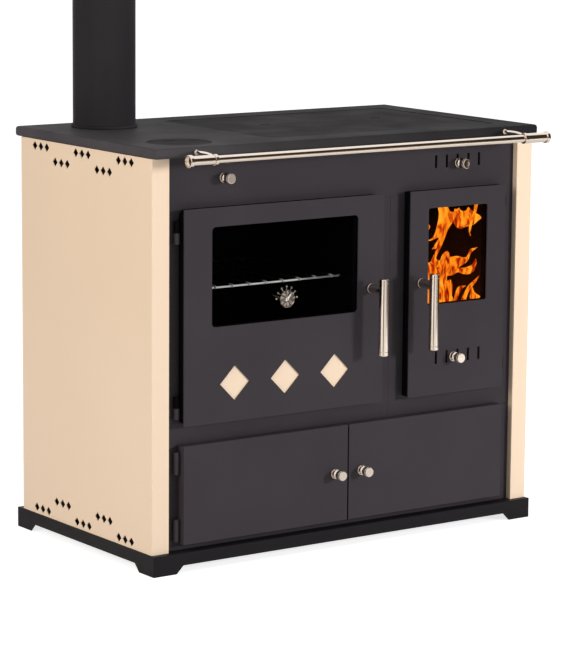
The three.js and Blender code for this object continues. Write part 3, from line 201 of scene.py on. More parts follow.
def grain(tree, here, scale, detail=2.0, distortion=0.0):
    """Cloudy noise from about 0.3 to 0.7."""
    return put(tree, "ShaderNodeTexNoise", {
        "Vector": here, "Scale": scale, "Detail": detail, "Distortion": distortion,
    }).outputs["Fac"]


def tones(tree, factor, *stops):
    """A colour ramp with (place, rgba) stops."""
    ramp = put(tree, "ShaderNodeValToRGB", {"Fac": factor})
    marks = ramp.color_ramp.elements
    while len(marks) < len(stops):
        marks.new(0.5)
    for mark, (place, value) in zip(marks, stops):
        mark.position = place
        mark.color = value
    return ramp.outputs["Color"]


def spread(tree, factor, low, high):
    """The factor's middle half spread over low to high."""
    return remap(tree, factor, (0.3, 0.7), (low, high))


def relief(tree, shader, height, depth):
    """Bumps of the given depth, in metres."""
    bump = put(tree, "ShaderNodeBump", {"Height": height, "Strength": 1.0, "Distance": depth})
    tree.links.new(bump.outputs["Normal"], shader.inputs["Normal"])


def mottled(tree, here, rgb, amount, scale=5.0):
    """A colour that varies softly over the piece."""
    return tones(
        tree, grain(tree, here, scale, 3.0), (0.32, rgba(rgb, 1 - amount)), (0.68, rgba(rgb, 1 + amount))
    )


def satin_enamel(name, rgb, roughness, mottle=0.06, level=0.5):
    """Baked enamel with a faint orange-peel surface."""
    made, tree, shader, here = start_finish(name)
    feed(tree, shader, {
        "Base Color": mottled(tree, here, rgb, mottle),
        "Roughness": spread(tree, grain(tree, here, 45.0), roughness - 0.04, roughness + 0.04),
        "Specular IOR Level": level,
    })
    relief(tree, shader, grain(tree, here, 420.0, 1.0), 0.00002)
    return made


def gloss_enamel(name, rgb):
    """Cream enamel: a soft ground under a clear, slightly wavy gloss."""
    made, tree, shader, here = start_finish(name)
    feed(tree, shader, {
        "Base Color": mottled(tree, here, rgb, 0.012, 3.0),
        "Roughness": spread(tree, grain(tree, here, 30.0), 0.36, 0.44),
        "Coat Weight": 0.25,
        "Coat Roughness": 0.22,
    })
    relief(tree, shader, grain(tree, here, 160.0, 1.0), 0.00002)
    return made


def blacked_iron(name, rgb, roughness, rub=0.22, level=0.012):
    """Cast iron with stove black: fine sand-cast pits, rubbed lighter in places."""
    made, tree, shader, here = start_finish(name)
    rubbed = grain(tree, here, 9.0, 4.0, 0.4)
    feed(tree, shader, {
        "Base Color": tones(tree, rubbed, (0.30, rgba(rgb, 1 - rub)), (0.70, rgba(rgb, 1 + rub))),
        "Roughness": spread(tree, rubbed, roughness + 0.05, roughness - 0.05),
        "Specular IOR Level": level,
    })
    relief(tree, shader, grain(tree, here, 520.0, 3.0), 0.00006)
    return made


def iron_with_painted_sheen(name, rgb):
    """Blacked iron with painted sheen: lighter on the flue's side of the cooktop, and painted shade, darker, towards
    its right.
    """
    made = blacked_iron(name, rgb, 0.55, 0.10, 0.014)
    tree = made.node_tree
    shader = tree.nodes["Principled BSDF"]
    blacking = shader.inputs["Base Color"].links[0].from_socket
    place = put(tree, "ShaderNodeSeparateXYZ", {"Vector": put(tree, "ShaderNodeTexCoord").outputs["Object"]})
    low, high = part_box("cooktop_frame")
    across = remap(tree, place.outputs["X"], (low.x, high.x))
    # painted sheen and shade: the blacking is lightened towards the flue on the left and darkened towards the right
    painted_sheen_and_shade = tones(tree, across, *((at, (grey, grey, grey, 1)) for at, grey in ((0.0, 2.0), (0.30, 1.15), (1.0, 0.5))))
    feed(tree, shader, {"Base Color": blend(tree, 1.0, blacking, painted_sheen_and_shade, "MULTIPLY")})
    return made


def polished_chrome(name, rgb, rough=0.07):
    """Plated metal with a faint unevenness."""
    made, tree, shader, here = start_finish(name)
    feed(tree, shader, {
        "Metallic": 1.0,
        "Base Color": mottled(tree, here, rgb, 0.03, 20.0),
        "Roughness": spread(tree, grain(tree, here, 120.0), rough, rough + 0.04),
    })
    return made


def rack_metal(name, rgb):
    """Bright wire, painted near black behind its front rail as painted shade inside the oven."""
    made, tree, shader, here = start_finish(name)
    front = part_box("oven_rack")[0].y
    depth = put(tree, "ShaderNodeSeparateXYZ", {"Vector": here}).outputs["Y"]
    # painted shade: the wire turns near black from just behind the front rail into the oven
    painted_shade_behind_rail = remap(tree, depth, (front + 0.009, front + 0.016))
    feed(tree, shader, {
        "Metallic": 0.1,
        "Base Color": tones(tree, painted_shade_behind_rail, (0.0, rgba(rgb)), (1.0, (0.012, 0.011, 0.011, 1))),
        "Roughness": spread(tree, grain(tree, here, 90.0), 0.30, 0.42),
    })
    return made


def dial_metal(name, rgb):
    """The thermometer's plate: flutes that run out from its middle, raised in relief, with their bright and dark
    bands painted in as painted reflection.
    """
    made = polished_chrome(name, rgb, 0.12)
    tree = made.node_tree
    shader = tree.nodes["Principled BSDF"]
    middle = dial_middle()
    here = put(tree, "ShaderNodeTexCoord").outputs["Object"]
    ruffle = calc(tree, "MULTIPLY", grain(tree, here, 260.0, 3.0), 14.0)
    place = put(tree, "ShaderNodeSeparateXYZ", {"Vector": here}).outputs
    across = calc(tree, "SUBTRACT", place["X"], middle.x)
    up = calc(tree, "SUBTRACT", place["Z"], middle.z)
    turns = calc(tree, "MULTIPLY_ADD", calc(tree, "ARCTAN2", up, across), 9.0, ruffle)
    shade = remap(tree, calc(tree, "SINE", turns), (-1.0, 1.0))
    # painted reflection: the flutes' bright and dark bands are painted into the plate's colour
    painted_flute_reflections = tones(tree, shade, (0.15, rgba(rgb, 0.16)), (0.60, rgba(rgb, 0.42)), (0.95, rgba(rgb, 0.80)))
    feed(tree, shader, {"Base Color": painted_flute_reflections})
    relief(tree, shader, shade, 0.0004)
    return made


def brushed_steel(name, rgb, roughness=0.38):
    """Rolled sheet steel with fine lines along x."""
    made, tree, shader, here = start_finish(name)
    lines = grain(tree, stretched(tree, here, (4.0, 260.0, 260.0)), 3.0, 3.0)
    feed(tree, shader, {
        "Metallic": 0.9,
        "Base Color": tones(tree, lines, (0.3, rgba(rgb, 0.86)), (0.7, rgba(rgb, 1.08))),
        "Roughness": spread(tree, lines, roughness - 0.06, roughness + 0.08),
    })
    relief(tree, shader, lines, 0.00001)
    return made


def fireclay(name, rgb):
    """Firebrick with grit, pores and soot."""
    made, tree, shader, here = start_finish(name)
    soot = grain(tree, here, 7.0, 4.0, 0.6)
    grit = grain(tree, here, 240.0, 3.0)
    ground = tones(tree, grit, (0.3, rgba(rgb, 0.7)), (0.7, rgba(rgb, 1.15)))
    feed(tree, shader, {
        "Base Color": blend(tree, spread(tree, soot, 0.985, 0.90), ground, (0.006, 0.005, 0.0045, 1.0)),
        "Roughness": 0.95,
        "Specular IOR Level": 0.05,
    })
    relief(tree, shader, grit, 0.0005)
    return made


def rope(name, rgb):
    """Woven fibre rope: a slanting weave over the strands."""
    made, tree, shader, here = start_finish(name)
    weave = put(
        tree,
        "ShaderNodeTexWave",
        {"Vector": stretched(tree, here, (1.0, 0.6, 1.0)), "Scale": 120.0, "Distortion": 1.2, "Detail": 1.0},
        bands_direction="DIAGONAL",
    ).outputs["Fac"]
    feed(tree, shader, {
        "Base Color": tones(tree, weave, (0.2, rgba(rgb, 0.6)), (0.8, rgba(rgb, 1.3))),
        "Roughness": 1.0,
    })
    relief(tree, shader, weave, 0.0007)
    return made


def window_glass(name, rgb):
    """Clear ceramic glass with a faint dark tint."""
    made, tree, shader, here = start_finish(name)
    feed(tree, shader, {
        "Base Color": mottled(tree, here, rgb, 0.3, 8.0),
        "Roughness": spread(tree, grain(tree, here, 12.0), 0.02, 0.05),
        "Specular IOR Level": 0.03,
        "Alpha": 0.07,
    })
    return made


def charred_wood(name):
    """Burnt log: cracked char that glows in its cracks."""
    made, tree, shader, here = start_finish(name)
    cracks = put(
        tree, "ShaderNodeTexVoronoi", {"Vector": stretched(tree, here, (1.0, 0.45, 1.0)), "Scale": 70.0},
        feature="DISTANCE_TO_EDGE",
    ).outputs["Distance"]
    ash = grain(tree, here, 60.0, 4.0)
    feed(tree, shader, {
        "Base Color": tones(tree, ash, (0.35, (0.010, 0.008, 0.007, 1)), (0.7, (0.10, 0.085, 0.075, 1))),
        "Emission Color": tones(
            tree, cracks, (0.0, (1.0, 0.22, 0.02, 1)), (0.09, (0.35, 0.02, 0.0, 1)), (0.16, (0, 0, 0, 1))
        ),
        "Emission Strength": 3.0,
        "Roughness": 0.95,
    })
    relief(tree, shader, cracks, 0.002)
    return made


def flame(name):
    """Fire: its own light, yellow in its core and red at its edges, with finer licks in it."""
    made, tree, shader, here = start_finish(name)
    lick = grain(tree, stretched(tree, here, (62.0, 62.0, 17.0)), 1.0, 3.0, 1.6)
    heat = put(tree, "ShaderNodeAttribute", attribute_name="heat").outputs["Fac"]
    paint = colours()
    fire = tones(
        tree, calc(tree, "MULTIPLY_ADD", lick, 0.95, heat),
        (0.24, (0.03, 0.001, 0.0, 1)),
        (0.38, rgba(paint.flame_tip)),
        (0.52, rgba(paint.flame_body)),
        (0.72, (1.0, 0.40, 0.022, 1)),
        (0.94, rgba(paint.flame_core)),
    )
    feed(tree, shader, glow(fire, 1.35))
    return made


def glow(rgb, strength):
    """A shader's inputs for a thing that only gives light."""
    return {
        "Emission Color": rgb, "Emission Strength": strength, "Base Color": (0.0, 0.0, 0.0, 1.0),
        "Specular IOR Level": 0.0, "Roughness": 1.0,
    }


RECIPES = {
    "plinth_black": lambda c: satin_enamel("plinth_black", c.plinth_black, 0.50, 0.10, level=0.2),
    "black_enamel": lambda c: satin_enamel("black_enamel", c.black_enamel, 0.50, level=0.25),
    "cream_enamel": lambda c: gloss_enamel("cream_enamel", c.cream_enamel),
    "cast_iron": lambda c: iron_with_painted_sheen("cast_iron", c.frame_iron),
    "plate_iron": lambda c: blacked_iron("plate_iron", c.plate_iron, 0.62),
    "pipe_black": lambda c: satin_enamel("pipe_black", c.pipe_black, 0.36, 0.08, level=0.04),
    "dark_steel": lambda c: satin_enamel("dark_steel", c.dark_steel, 0.60, 0.15, level=0.2),
    # painted shade: the liners' near-black finish stands in for the shadow in the gaps round the doors
    "liner_painted_shade": lambda c: satin_enamel("liner_painted_shade", c.liner_painted_shade, 0.70, 0.15, level=0.06),
    "oven_enamel": lambda c: satin_enamel("oven_enamel", c.oven_enamel, 0.45, 0.15, level=0.08),
    "steel": lambda c: brushed_steel("steel", c.steel),
    "bright_wire": lambda c: rack_metal("bright_wire", (0.97, 0.96, 0.95)),
    "dial_metal": lambda c: dial_metal("dial_metal", c.chrome),
    "chrome": lambda c: polished_chrome("chrome", c.chrome),
    "firebrick": lambda c: fireclay("firebrick", c.firebrick),
    "fibre": lambda c: rope("fibre", c.fibre),
    "needle": lambda c: satin_enamel("needle", c.needle, 0.30),
    "door_glass": lambda c: window_glass("door_glass", c.glass),
    "charred_wood": lambda c: charred_wood("charred_wood"),
    "flame": lambda c: flame("flame"),
}


def dial_middle():
    """The middle of the thermometer's dial, which is at the bottom of its box."""
    low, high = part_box("oven_thermometer")
    return Vector(((low.x + high.x) / 2, low.y, low.z + sizes().dial_diameter / 2))


def finish(name):
    """The finish of that name, made when it is first used."""
    return bpy.data.materials.get(f"{name}_finish") or RECIPES[name](colours())


# ---------------------------------------------------------------- shapes


def solid_of(node):
    """A node's solid as one closed shape, its flat sides merged into single faces."""
    shape = bmesh.new()
    shape.from_mesh(frame["nodes"][node].data)
    bmesh.ops.remove_doubles(shape, verts=shape.verts, dist=2e-6)
    bmesh.ops.dissolve_limit(shape, angle_limit=math.radians(0.4), verts=shape.verts, edges=shape.edges)
    return shape


def ease_edges(shape, width, segments=2, angle=32.0, where=None):
    """Rounds the edges sharper than angle, all of them or those that where picks."""
    edges = [
        e for e in shape.edges
        if len(e.link_faces) == 2 and e.calc_face_angle(0.0) > math.radians(angle)
        and (where is None or where(e))
    ]
    if edges and width > 0:
        bmesh.ops.bevel(
            shape, geom=edges, offset=width, offset_type="OFFSET", segments=segments, profile=0.5,
            affect="EDGES", clamp_overlap=True,
        )


def as_object(shape, name, sharp=38.0):
    """The shape as an object with smooth faces between its sharp edges."""
    mesh = bpy.data.meshes.new(name)
    bmesh.ops.recalc_face_normals(shape, faces=shape.faces)
    shape.to_mesh(mesh)
    shape.free()
    mesh.polygons.foreach_set("use_smooth", [True] * len(mesh.polygons))
    mesh.set_sharp_from_angle(angle=math.radians(sharp))
    made = bpy.data.objects.new(name, mesh)
    bpy.context.scene.collection.objects.link(made)
    even = made.modifiers.new("even shading", "WEIGHTED_NORMAL")
    even.keep_sharp = True
    return made


def dress(piece, finish_name, *nodes, body=None, slot=None):
    """Gives a piece its finish, the body that it rides on and the nodes that it stands for."""
    piece.data.materials.append(finish(finish_name))
    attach(piece, body or BODY_OF[nodes[0]])
    if nodes:
        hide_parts(*nodes)
    return piece


def smooth_node(node, finish_name, width, segments=2, folds=None, fold_width=0.0, slot=None, angle=32.0):
    """A node's solid with eased edges in place of its sharp ones."""
    shape = solid_of(node)
    if folds:
        ease_edges(shape, fold_width, 4, where=folds)
    ease_edges(shape, width, segments, angle)
    return dress(as_object(shape, f"{node}_finished"), finish_name, node, slot=slot)


def eased(profile, radius, steps=3):
    """The profile with its inner corners rounded."""
    points = [Vector(p) for p in profile]
    result = [points[0]]
    for before, corner, after in zip(points, points[1:], points[2:]):
        back, ahead = before - corner, after - corner
        reach = min(radius, back.length * 0.45, ahead.length * 0.45)
        if reach < 1e-6 or back.angle(ahead) > math.radians(165):
            result.append(corner)
            continue
        start, end = corner + back.normalized() * reach, corner + ahead.normalized() * reach
        for step in range(steps + 1):
            t = step / steps
            result.append(start * (1 - t) ** 2 + corner * 2 * t * (1 - t) + end * t * t)
    return result + [points[-1]]


AXES = {
    "X": Matrix.Rotation(math.radians(90), 4, "Y"),
    "-X": Matrix.Rotation(math.radians(-90), 4, "Y"),
    "Y": Matrix.Rotation(math.radians(-90), 4, "X"),
    "Z": Matrix.Identity(4),
}


def turn(shape, profile, place, axis="Z", segments=48, turned=None):
    """Adds a turned solid: profile is (radius, height) pairs from pole to pole, or a closed ring."""
    move = Matrix.Translation(Vector(place)) @ (turned or AXES[axis])
    rings = []
    for radius, height in profile:
        if radius < 1e-7:
            rings.append([shape.verts.new(move @ Vector((0, 0, height)))])
            continue
        rings.append([
            shape.verts.new(move @ Vector((radius * math.cos(a), radius * math.sin(a), height)))
            for a in (2 * math.pi * k / segments for k in range(segments))
        ])
    closed = len(rings[0]) > 1
    for low, high in zip(rings, rings[1:] + ([rings[0]] if closed else [])):
        for k in range(segments):
            after = (k + 1) % segments
            if len(low) == 1 and len(high) == 1:
                continue
            if len(low) == 1:
                shape.faces.new((low[0], high[k], high[after]))
            elif len(high) == 1:
                shape.faces.new((low[k], low[after], high[0]))
            else:
                shape.faces.new((low[k], low[after], high[after], high[k]))


def tube_path(shape, points, radius, segments=12):
    """Adds a round rod through the points, with flat ends."""
    points = [Vector(p) for p in points]
    rings = []
    side = None
    for index, point in enumerate(points):
        along = (points[min(index + 1, len(points) - 1)] - points[max(index - 1, 0)]).normalized()
        if side is None:
            side = along.orthogonal().normalized()
        side = (side - along * side.dot(along)).normalized()
        up = along.cross(side)
        rings.append([
            shape.verts.new(point + side * radius * math.cos(a) + up * radius * math.sin(a))
            for a in (2 * math.pi * k / segments for k in range(segments))
        ])
    for low, high in zip(rings, rings[1:]):
        for k in range(segments):
            after = (k + 1) % segments
            shape.faces.new((low[k], low[after], high[after], high[k]))
    shape.faces.new(rings[0])
    shape.faces.new(rings[-1])


# ---------------------------------------------------------------- operators


class COOKSTOVE_OT_casing(bpy.types.Operator):
    """Plinth, cream side panels, face plate and back panel"""

    bl_idname = "cookstove.casing"
    bl_label = "Casing"

    def execute(self, context):
        size = sizes()
        smooth_node("plinth", "plinth_black", size.plinth_edge, 3)
        for side in ("left", "right"):
            node = f"side_panel_{side}"
            low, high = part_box(node)
            outer = low.x if side == "left" else high.x

            def is_fold(edge, outer=outer, front=low.y, back=high.y, near=1e-4, tall=0.5):
                a, b = (v.co for v in edge.verts)
                return abs(a.z - b.z) > tall and all(
                    abs(p.x - outer) < near and min(abs(p.y - front), abs(p.y - back)) < near for p in (a, b)
                )

            smooth_node(node, "cream_enamel", size.sheet_edge * 0.8, 2, is_fold, size.fold)
        for node in ("face_plate", "oven_frame", "fire_frame", "cupboard_frame"):
            smooth_node(node, "black_enamel", size.sheet_edge * 0.4)
        smooth_node("back_panel", "dark_steel", size.sheet_edge)
        return {"FINISHED"}


class COOKSTOVE_OT_inner_casing(bpy.types.Operator):
    """Inner walls, cupboard ceiling, and the partition beside the firebox"""

    bl_idname = "cookstove.inner_casing"
    bl_label = "Inner casing"

    def execute(self, context):
        size = sizes()
        for node in ("inner_wall_left", "inner_wall_right", "storage_ceiling", "firebox_partition"):
            smooth_node(node, "dark_steel", size.sheet_edge * 0.6)
        return {"FINISHED"}


class COOKSTOVE_OT_oven(bpy.types.Operator):
    """Oven liner and wire rack"""

    bl_idname = "cookstove.oven"
    bl_label = "Oven"

    def execute(self, context):
        size = sizes()
        smooth_node("oven_liner", "oven_enamel", size.sheet_edge)
        low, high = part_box("oven_rack")
        rail, wire = size.rack_rail / 2, size.rack_wire / 2
        level = low.z + rail
        left, right = low.x + rail, high.x - rail
        overhang, corner, side_gap = 0.005, 0.012, 0.01
        front, back = low.y + overhang, high.y - overhang
        ring = []
        for x, y, start in (
            (right - corner, back - corner, 0), (left + corner, back - corner, 90),
            (left + corner, front + corner, 180), (right - corner, front + corner, 270),
        ):
            for step in range(7):
                a = math.radians(start + 15 * step)
                ring.append((x + corner * math.cos(a), y + corner * math.sin(a), level))
        shape = bmesh.new()
        tube_path(shape, ring + [ring[0]], rail, 14)
        count = int((right - left - 2 * side_gap) / size.rack_pitch) + 1
        tip, bend, over = level - 0.001, level + 0.0022, level + rail + wire * 0.5
        for k in range(count):
            x = (left + right) / 2 + (k - (count - 1) / 2) * size.rack_pitch
            tube_path(shape, [
                (x, low.y, tip), (x, low.y + 0.002, bend), (x, front + 0.004, over),
                (x, back - 0.004, over), (x, high.y - 0.002, bend), (x, high.y, tip),
            ], wire, 10)
        dress(as_object(shape, "oven_rack_wires"), "bright_wire", "oven_rack", slot="steel")
        return {"FINISHED"}


class COOKSTOVE_OT_firebox(bpy.types.Operator):
    """Firebricks, hearth plate, grate and ash pan"""

    bl_idname = "cookstove.firebox"
    bl_label = "Firebox"

    def execute(self, context):
        size = sizes()
        for node in ("firebrick_left", "firebrick_right", "firebrick_back"):
            smooth_node(node, "firebrick", size.brick_edge, 3)
        smooth_node("hearth_plate", "plate_iron", size.sheet_edge, slot="cast_iron")
        smooth_node("fire_grate", "plate_iron", size.casting_edge, slot="cast_iron")
        smooth_node("ash_pan", "steel", size.sheet_edge * 0.7)
        return {"FINISHED"}


class COOKSTOVE_OT_fire(bpy.types.Operator):
    """Burning logs and the flames behind the fire door's glass"""

    bl_idname = "cookstove.fire"
    bl_label = "Fire"

    def execute(self, context):
        size = sizes()
        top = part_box("fire_grate")[1].z
        shape = bmesh.new()
        logs = (
            ((0.205, -0.150, top + 0.030), (0.235, 0.110, top + 0.034), 0.030),
            ((0.330, -0.155, top + 0.030), (0.315, 0.105, top + 0.032), 0.029),
            ((0.272, -0.145, top + 0.074), (0.268, 0.100, top + 0.078), 0.026),
        )
        for index, (start, end, radius) in enumerate(logs):
            self.log(shape, Vector(start), Vector(end), radius, index)
        dress(as_object(shape, "burning_logs", 60), "charred_wood", body="stove")
        self.flames(size, top + 0.004)
        return {"FINISHED"}

    def log(self, shape, start, end, radius, seed):
        """A split log with rough bark and broken ends"""
        along = (end - start).normalized()
        side = along.orthogonal().normalized()
        up = along.cross(side)
        rings = []
        steps, around, bulge = 26, 22, 0.004
        for i in range(steps + 1):
            t = i / steps
            centre = start.lerp(end, t)
            ring = []
            for k in range(around):
                a = 2 * math.pi * k / around
                wobble = noise.noise(Vector((math.cos(a) * 1.7, math.sin(a) * 1.7, t * 5 + seed * 7)))
                grit = noise.noise(Vector((math.cos(a) * 5, math.sin(a) * 5, t * 24 + seed * 3)))
                r = radius * (1 + 0.16 * wobble + 0.07 * grit) * (0.93 if i in (0, steps) else 1.0)
                ring.append(shape.verts.new(centre + side * r * math.cos(a) + up * r * math.sin(a)))
            rings.append(ring)
        for lower, upper in zip(rings, rings[1:]):
            for k in range(around):
                after = (k + 1) % around
                shape.faces.new((lower[k], lower[after], upper[after], upper[k]))
        for ring, point in ((rings[0], start - along * bulge), (rings[-1], end + along * bulge)):
            tip = shape.verts.new(point)
            for k in range(around):
                shape.faces.new((ring[k], ring[(k + 1) % around], tip))

    def flames(self, size, floor_level):
        """Two curtains of fire, one close behind the window and a lower, cooler one behind it"""
        frame_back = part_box("fire_frame")[1].y
        shape = bmesh.new()
        heat = shape.verts.layers.float.new("heat")
        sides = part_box("firebox_partition")[1].x + 0.008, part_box("firebrick_right")[0].x - 0.004
        for behind, share, seed, cooler in ((0.022, 1.0, 2.0, 0.0), (0.046, 0.92, 11.0, 0.20)):
            tall = size.flame_height * share
            self.curtain(shape, heat, sides, frame_back + behind, floor_level, tall, seed, cooler)
        dress(as_object(shape, "flames", 180), "flame", body="stove")

    def density(self, across, rise, seed):
        """How much fire there is at a place of the curtain, from under 0 for none to about 1"""
        drift = noise.noise(Vector((across * 2.1, rise * 1.7, seed)))
        curl = noise.noise(Vector((across * 5.2, rise * 4.0, seed + 9.0)))
        bent = across + 0.22 * drift + 0.09 * curl
        stem = 0.62 - 0.12 * rise + 0.06 * math.sin(5.0 * rise + seed)
        body = 1.0 - abs(bent - stem) / (0.84 - 0.50 * rise)
        licks = noise.noise(Vector((bent * 7.0, rise * 2.7 + curl * 0.4, seed + 17.0)))
        gaps = noise.noise(Vector((bent * 4.2, rise * 4.6, seed + 31.0)))
        curls = 1.0 - 4.5 * abs(noise.noise(Vector((bent * 4.6 + 0.5 * curl, rise * 3.4, seed + 43.0))))
        return 0.60 * body + 0.45 * licks + 0.55 * gaps + 0.42 * curls - 0.30 * rise - 0.22

    def curtain(self, shape, heat, sides, depth, bottom, tall, seed, cooler):
        """A thin closed cushion of fire wherever there is some, with its holes and loose wisps"""
        cell, thickness, limit = 0.0026, 0.006, 0.12
        left, right = sides
        columns, rows = int((right - left) / cell), int(tall / cell)
        amount = [[
            -1.0 if i in (0, columns) or j in (0, rows) else self.density(i / columns, j / rows, seed) - limit
            for i in range(columns + 1)] for j in range(rows + 1)]
        corners, crossings = {}, {}

        def corner(i, j):
            if (i, j) not in corners:
                bulge = thickness * min(1.0, amount[j][i] / 0.35) ** 0.5
                pair = []
                for side in (-1, 1):
                    v = shape.verts.new((left + i * cell, depth + side * bulge, bottom + j * cell))
                    v[heat] = 0.20 + 0.56 * min(1.0, amount[j][i] / 0.42) ** 0.6 - cooler
                    pair.append(v)
                corners[i, j] = pair
            return corners[i, j]

        def crossing(a, b):
            key = (min(a, b), max(a, b))
            if key not in crossings:
                (i, j), (k, m) = key
                low, high = amount[j][i], amount[m][k]
                t = min(0.96, max(0.04, low / (low - high)))
                x, z = left + (i + (k - i) * t) * cell, bottom + (j + (m - j) * t) * cell
                v = shape.verts.new((x, depth, z))
                v[heat] = -0.12 - cooler
                crossings[key] = [v, v]
            return crossings[key]

        for j in range(rows):
            for i in range(columns):
                ring = []
                around = ((i, j), (i + 1, j), (i + 1, j + 1), (i, j + 1))
                for a, b in zip(around, around[1:] + around[:1]):
                    inside, after = amount[a[1]][a[0]] > 0, amount[b[1]][b[0]] > 0
                    if inside:
                        ring.append(corner(*a))
                    if inside != after:
                        ring.append(crossing(a, b))
                if len(ring) > 2:
                    shape.faces.new([pair[0] for pair in ring])
                    shape.faces.new([pair[1] for pair in reversed(ring)])


class COOKSTOVE_OT_smoke_path(bpy.types.Operator):
    """Flue box, damper disc, collar and pipe"""

    bl_idname = "cookstove.smoke_path"
    bl_label = "Smoke path"

    def execute(self, context):
        size = sizes()
        smooth_node("flue_box", "dark_steel", size.sheet_edge)
        smooth_node("flue_damper", "steel", size.sheet_edge * 0.6)
        low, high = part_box("flue_pipe")
        centre = (low + high) / 2
        outer, wall, play = (high.x - low.x) / 2, 0.002, 0.0003
        shape = bmesh.new()
        turn(shape, [
            (outer - wall, low.z), (outer, low.z), (outer, high.z), (outer - wall, high.z),
        ], (centre.x, centre.y, 0), segments=96)
        ease_edges(shape, 0.0006, 2, 60)
        dress(as_object(shape, "flue_pipe_rolled"), "pipe_black", "flue_pipe")
        low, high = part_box("flue_collar")
        centre = (low + high) / 2
        flange = (high.x - low.x) / 2
        spigot, bead = outer - wall - play, 0.006
        shape = bmesh.new()
        ring = eased([
            (spigot - wall, low.z + 0.004), (spigot - wall, low.z), (flange, low.z), (flange, low.z + bead),
            (spigot, low.z + bead), (spigot, high.z), (spigot - wall, high.z), (spigot - wall, low.z + 0.004),
        ], 0.0022, 4)[:-1]
        turn(shape, ring, (centre.x, centre.y, 0), segments=96)
        dress(as_object(shape, "flue_collar_turned"), "plate_iron", "flue_collar", slot="cast_iron")
        return {"FINISHED"}


class COOKSTOVE_OT_doors(bpy.types.Operator):
    """Oven door, fire door and cupboard doors, with their liners, gaskets, glass and latches"""

    bl_idname = "cookstove.doors"
    bl_label = "Doors"

    def execute(self, context):
        size = sizes()
        for door in ("oven", "fire"):
            smooth_node(f"{door}_door_skin", "black_enamel", size.sheet_edge * 1.4, 3)
            smooth_node(f"{door}_door_liner", "liner_painted_shade", size.sheet_edge, slot="dark_steel")
            smooth_node(f"{door}_door_gasket", "fibre", 0.0012, 3)
            smooth_node(f"{door}_door_glass", "door_glass", size.sheet_edge * 0.6)
            smooth_node(f"{door}_door_latch", "steel", size.sheet_edge)
        smooth_node("oven_door_inlay", "cream_enamel", size.sheet_edge * 0.6)
        for side in ("left", "right"):
            smooth_node(f"storage_door_{side}", "black_enamel", size.sheet_edge * 1.4, 3)
        return {"FINISHED"}


class COOKSTOVE_OT_thermometer(bpy.types.Operator):
    """Thermometer with its dial, the spokes on it, the ball-ended pins round it and the needle"""

    bl_idname = "cookstove.thermometer"
    bl_label = "Thermometer"

    def execute(self, context):
        size = sizes()
        low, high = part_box("oven_thermometer")
        radius = size.dial_diameter / 2
        middle = dial_middle()
        front, rear = low.y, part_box("oven_door_glass")[0].y
        dial, hub, stem = front + 0.0025, 0.0014, 0.0035
        shape = bmesh.new()
        turn(shape, eased([
            (0.0, dial - 0.0020), (hub, dial - 0.0020), (hub, dial), (radius - 0.0027, dial),
            (radius - 0.0022, front + 0.0004), (radius - 0.0011, front), (radius - 0.0002, front + 0.0008),
            (radius, front + 0.0022), (radius, rear - 0.0004), (stem, rear - 0.0003), (stem, high.y), (0.0, high.y),
        ], 0.0005, 3), (middle.x, 0, middle.z), "Y", 64)
        pins, reach, ball, wire, fan = 7, 0.025, 0.0026, 0.0009, 172.0
        spoke = [(0.0, radius * 0.30), (0.0006, radius * 0.32), (0.0008, radius - 0.0034), (0.0, radius - 0.0030)]
        arc = [(ball * math.sin(a), reach - ball * math.cos(a)) for a in map(math.radians, range(22, 180, 12))]
        pin = [
            (0.0, radius - 0.002), (wire, radius - 0.002), (wire, reach - ball * 0.9), *arc, (0.0, reach + ball),
        ]
        for k in range(pins):
            lean = Matrix.Rotation(math.radians((k / (pins - 1) - 0.5) * fan), 4, "Y")
            turn(shape, spoke, (middle.x, dial - 0.0003, middle.z), segments=12, turned=lean)
            turn(shape, pin, (middle.x, rear - 0.0045, middle.z), segments=20, turned=lean)
        dress(as_object(shape, "oven_thermometer_turned", 30), "dial_metal", "oven_thermometer", slot="chrome")
        smooth_node("oven_thermometer_needle", "needle", 0.00015, 2)
        return {"FINISHED"}


class COOKSTOVE_OT_handles(bpy.types.Operator):
    """The two upright door handles on their stubs"""

    bl_idname = "cookstove.handles"
    bl_label = "Handles"

    def execute(self, context):
        size = sizes()
        for door in ("oven", "fire"):
            node = f"{door}_door_handle"
            low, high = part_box(node)
            radius = size.handle_diameter / 2
            x, y = (low.x + high.x) / 2, low.y + radius
            stub_below_top, stub, foot = 0.0245, 0.0094, 0.0100
            edge, cap, groove, inner = 0.0012, 0.0085, 0.0009, radius - 0.0006
            shape = bmesh.new()
            turn(shape, eased([
                (0.0, low.z), (radius - edge, low.z), (radius, low.z + edge),
                (radius, low.z + cap), (inner, low.z + cap), (inner, low.z + cap + groove),
                (radius, low.z + cap + groove), (radius, high.z - cap - groove),
                (inner, high.z - cap - groove), (inner, high.z - cap), (radius, high.z - cap),
                (radius, high.z - edge), (radius - edge, high.z), (0.0, high.z),
            ], 0.0007, 3), (x, y, 0), segments=64)
            turn(shape, eased([
                (0.0, y), (stub, y), (stub, high.y - 0.0045), (foot, high.y - 0.0040), (foot, high.y), (0.0, high.y),
            ], 0.0006, 3), (x, 0, high.z - stub_below_top), "Y", 64)
            dress(as_object(shape, f"{node}_turned"), "chrome", node)
        return {"FINISHED"}


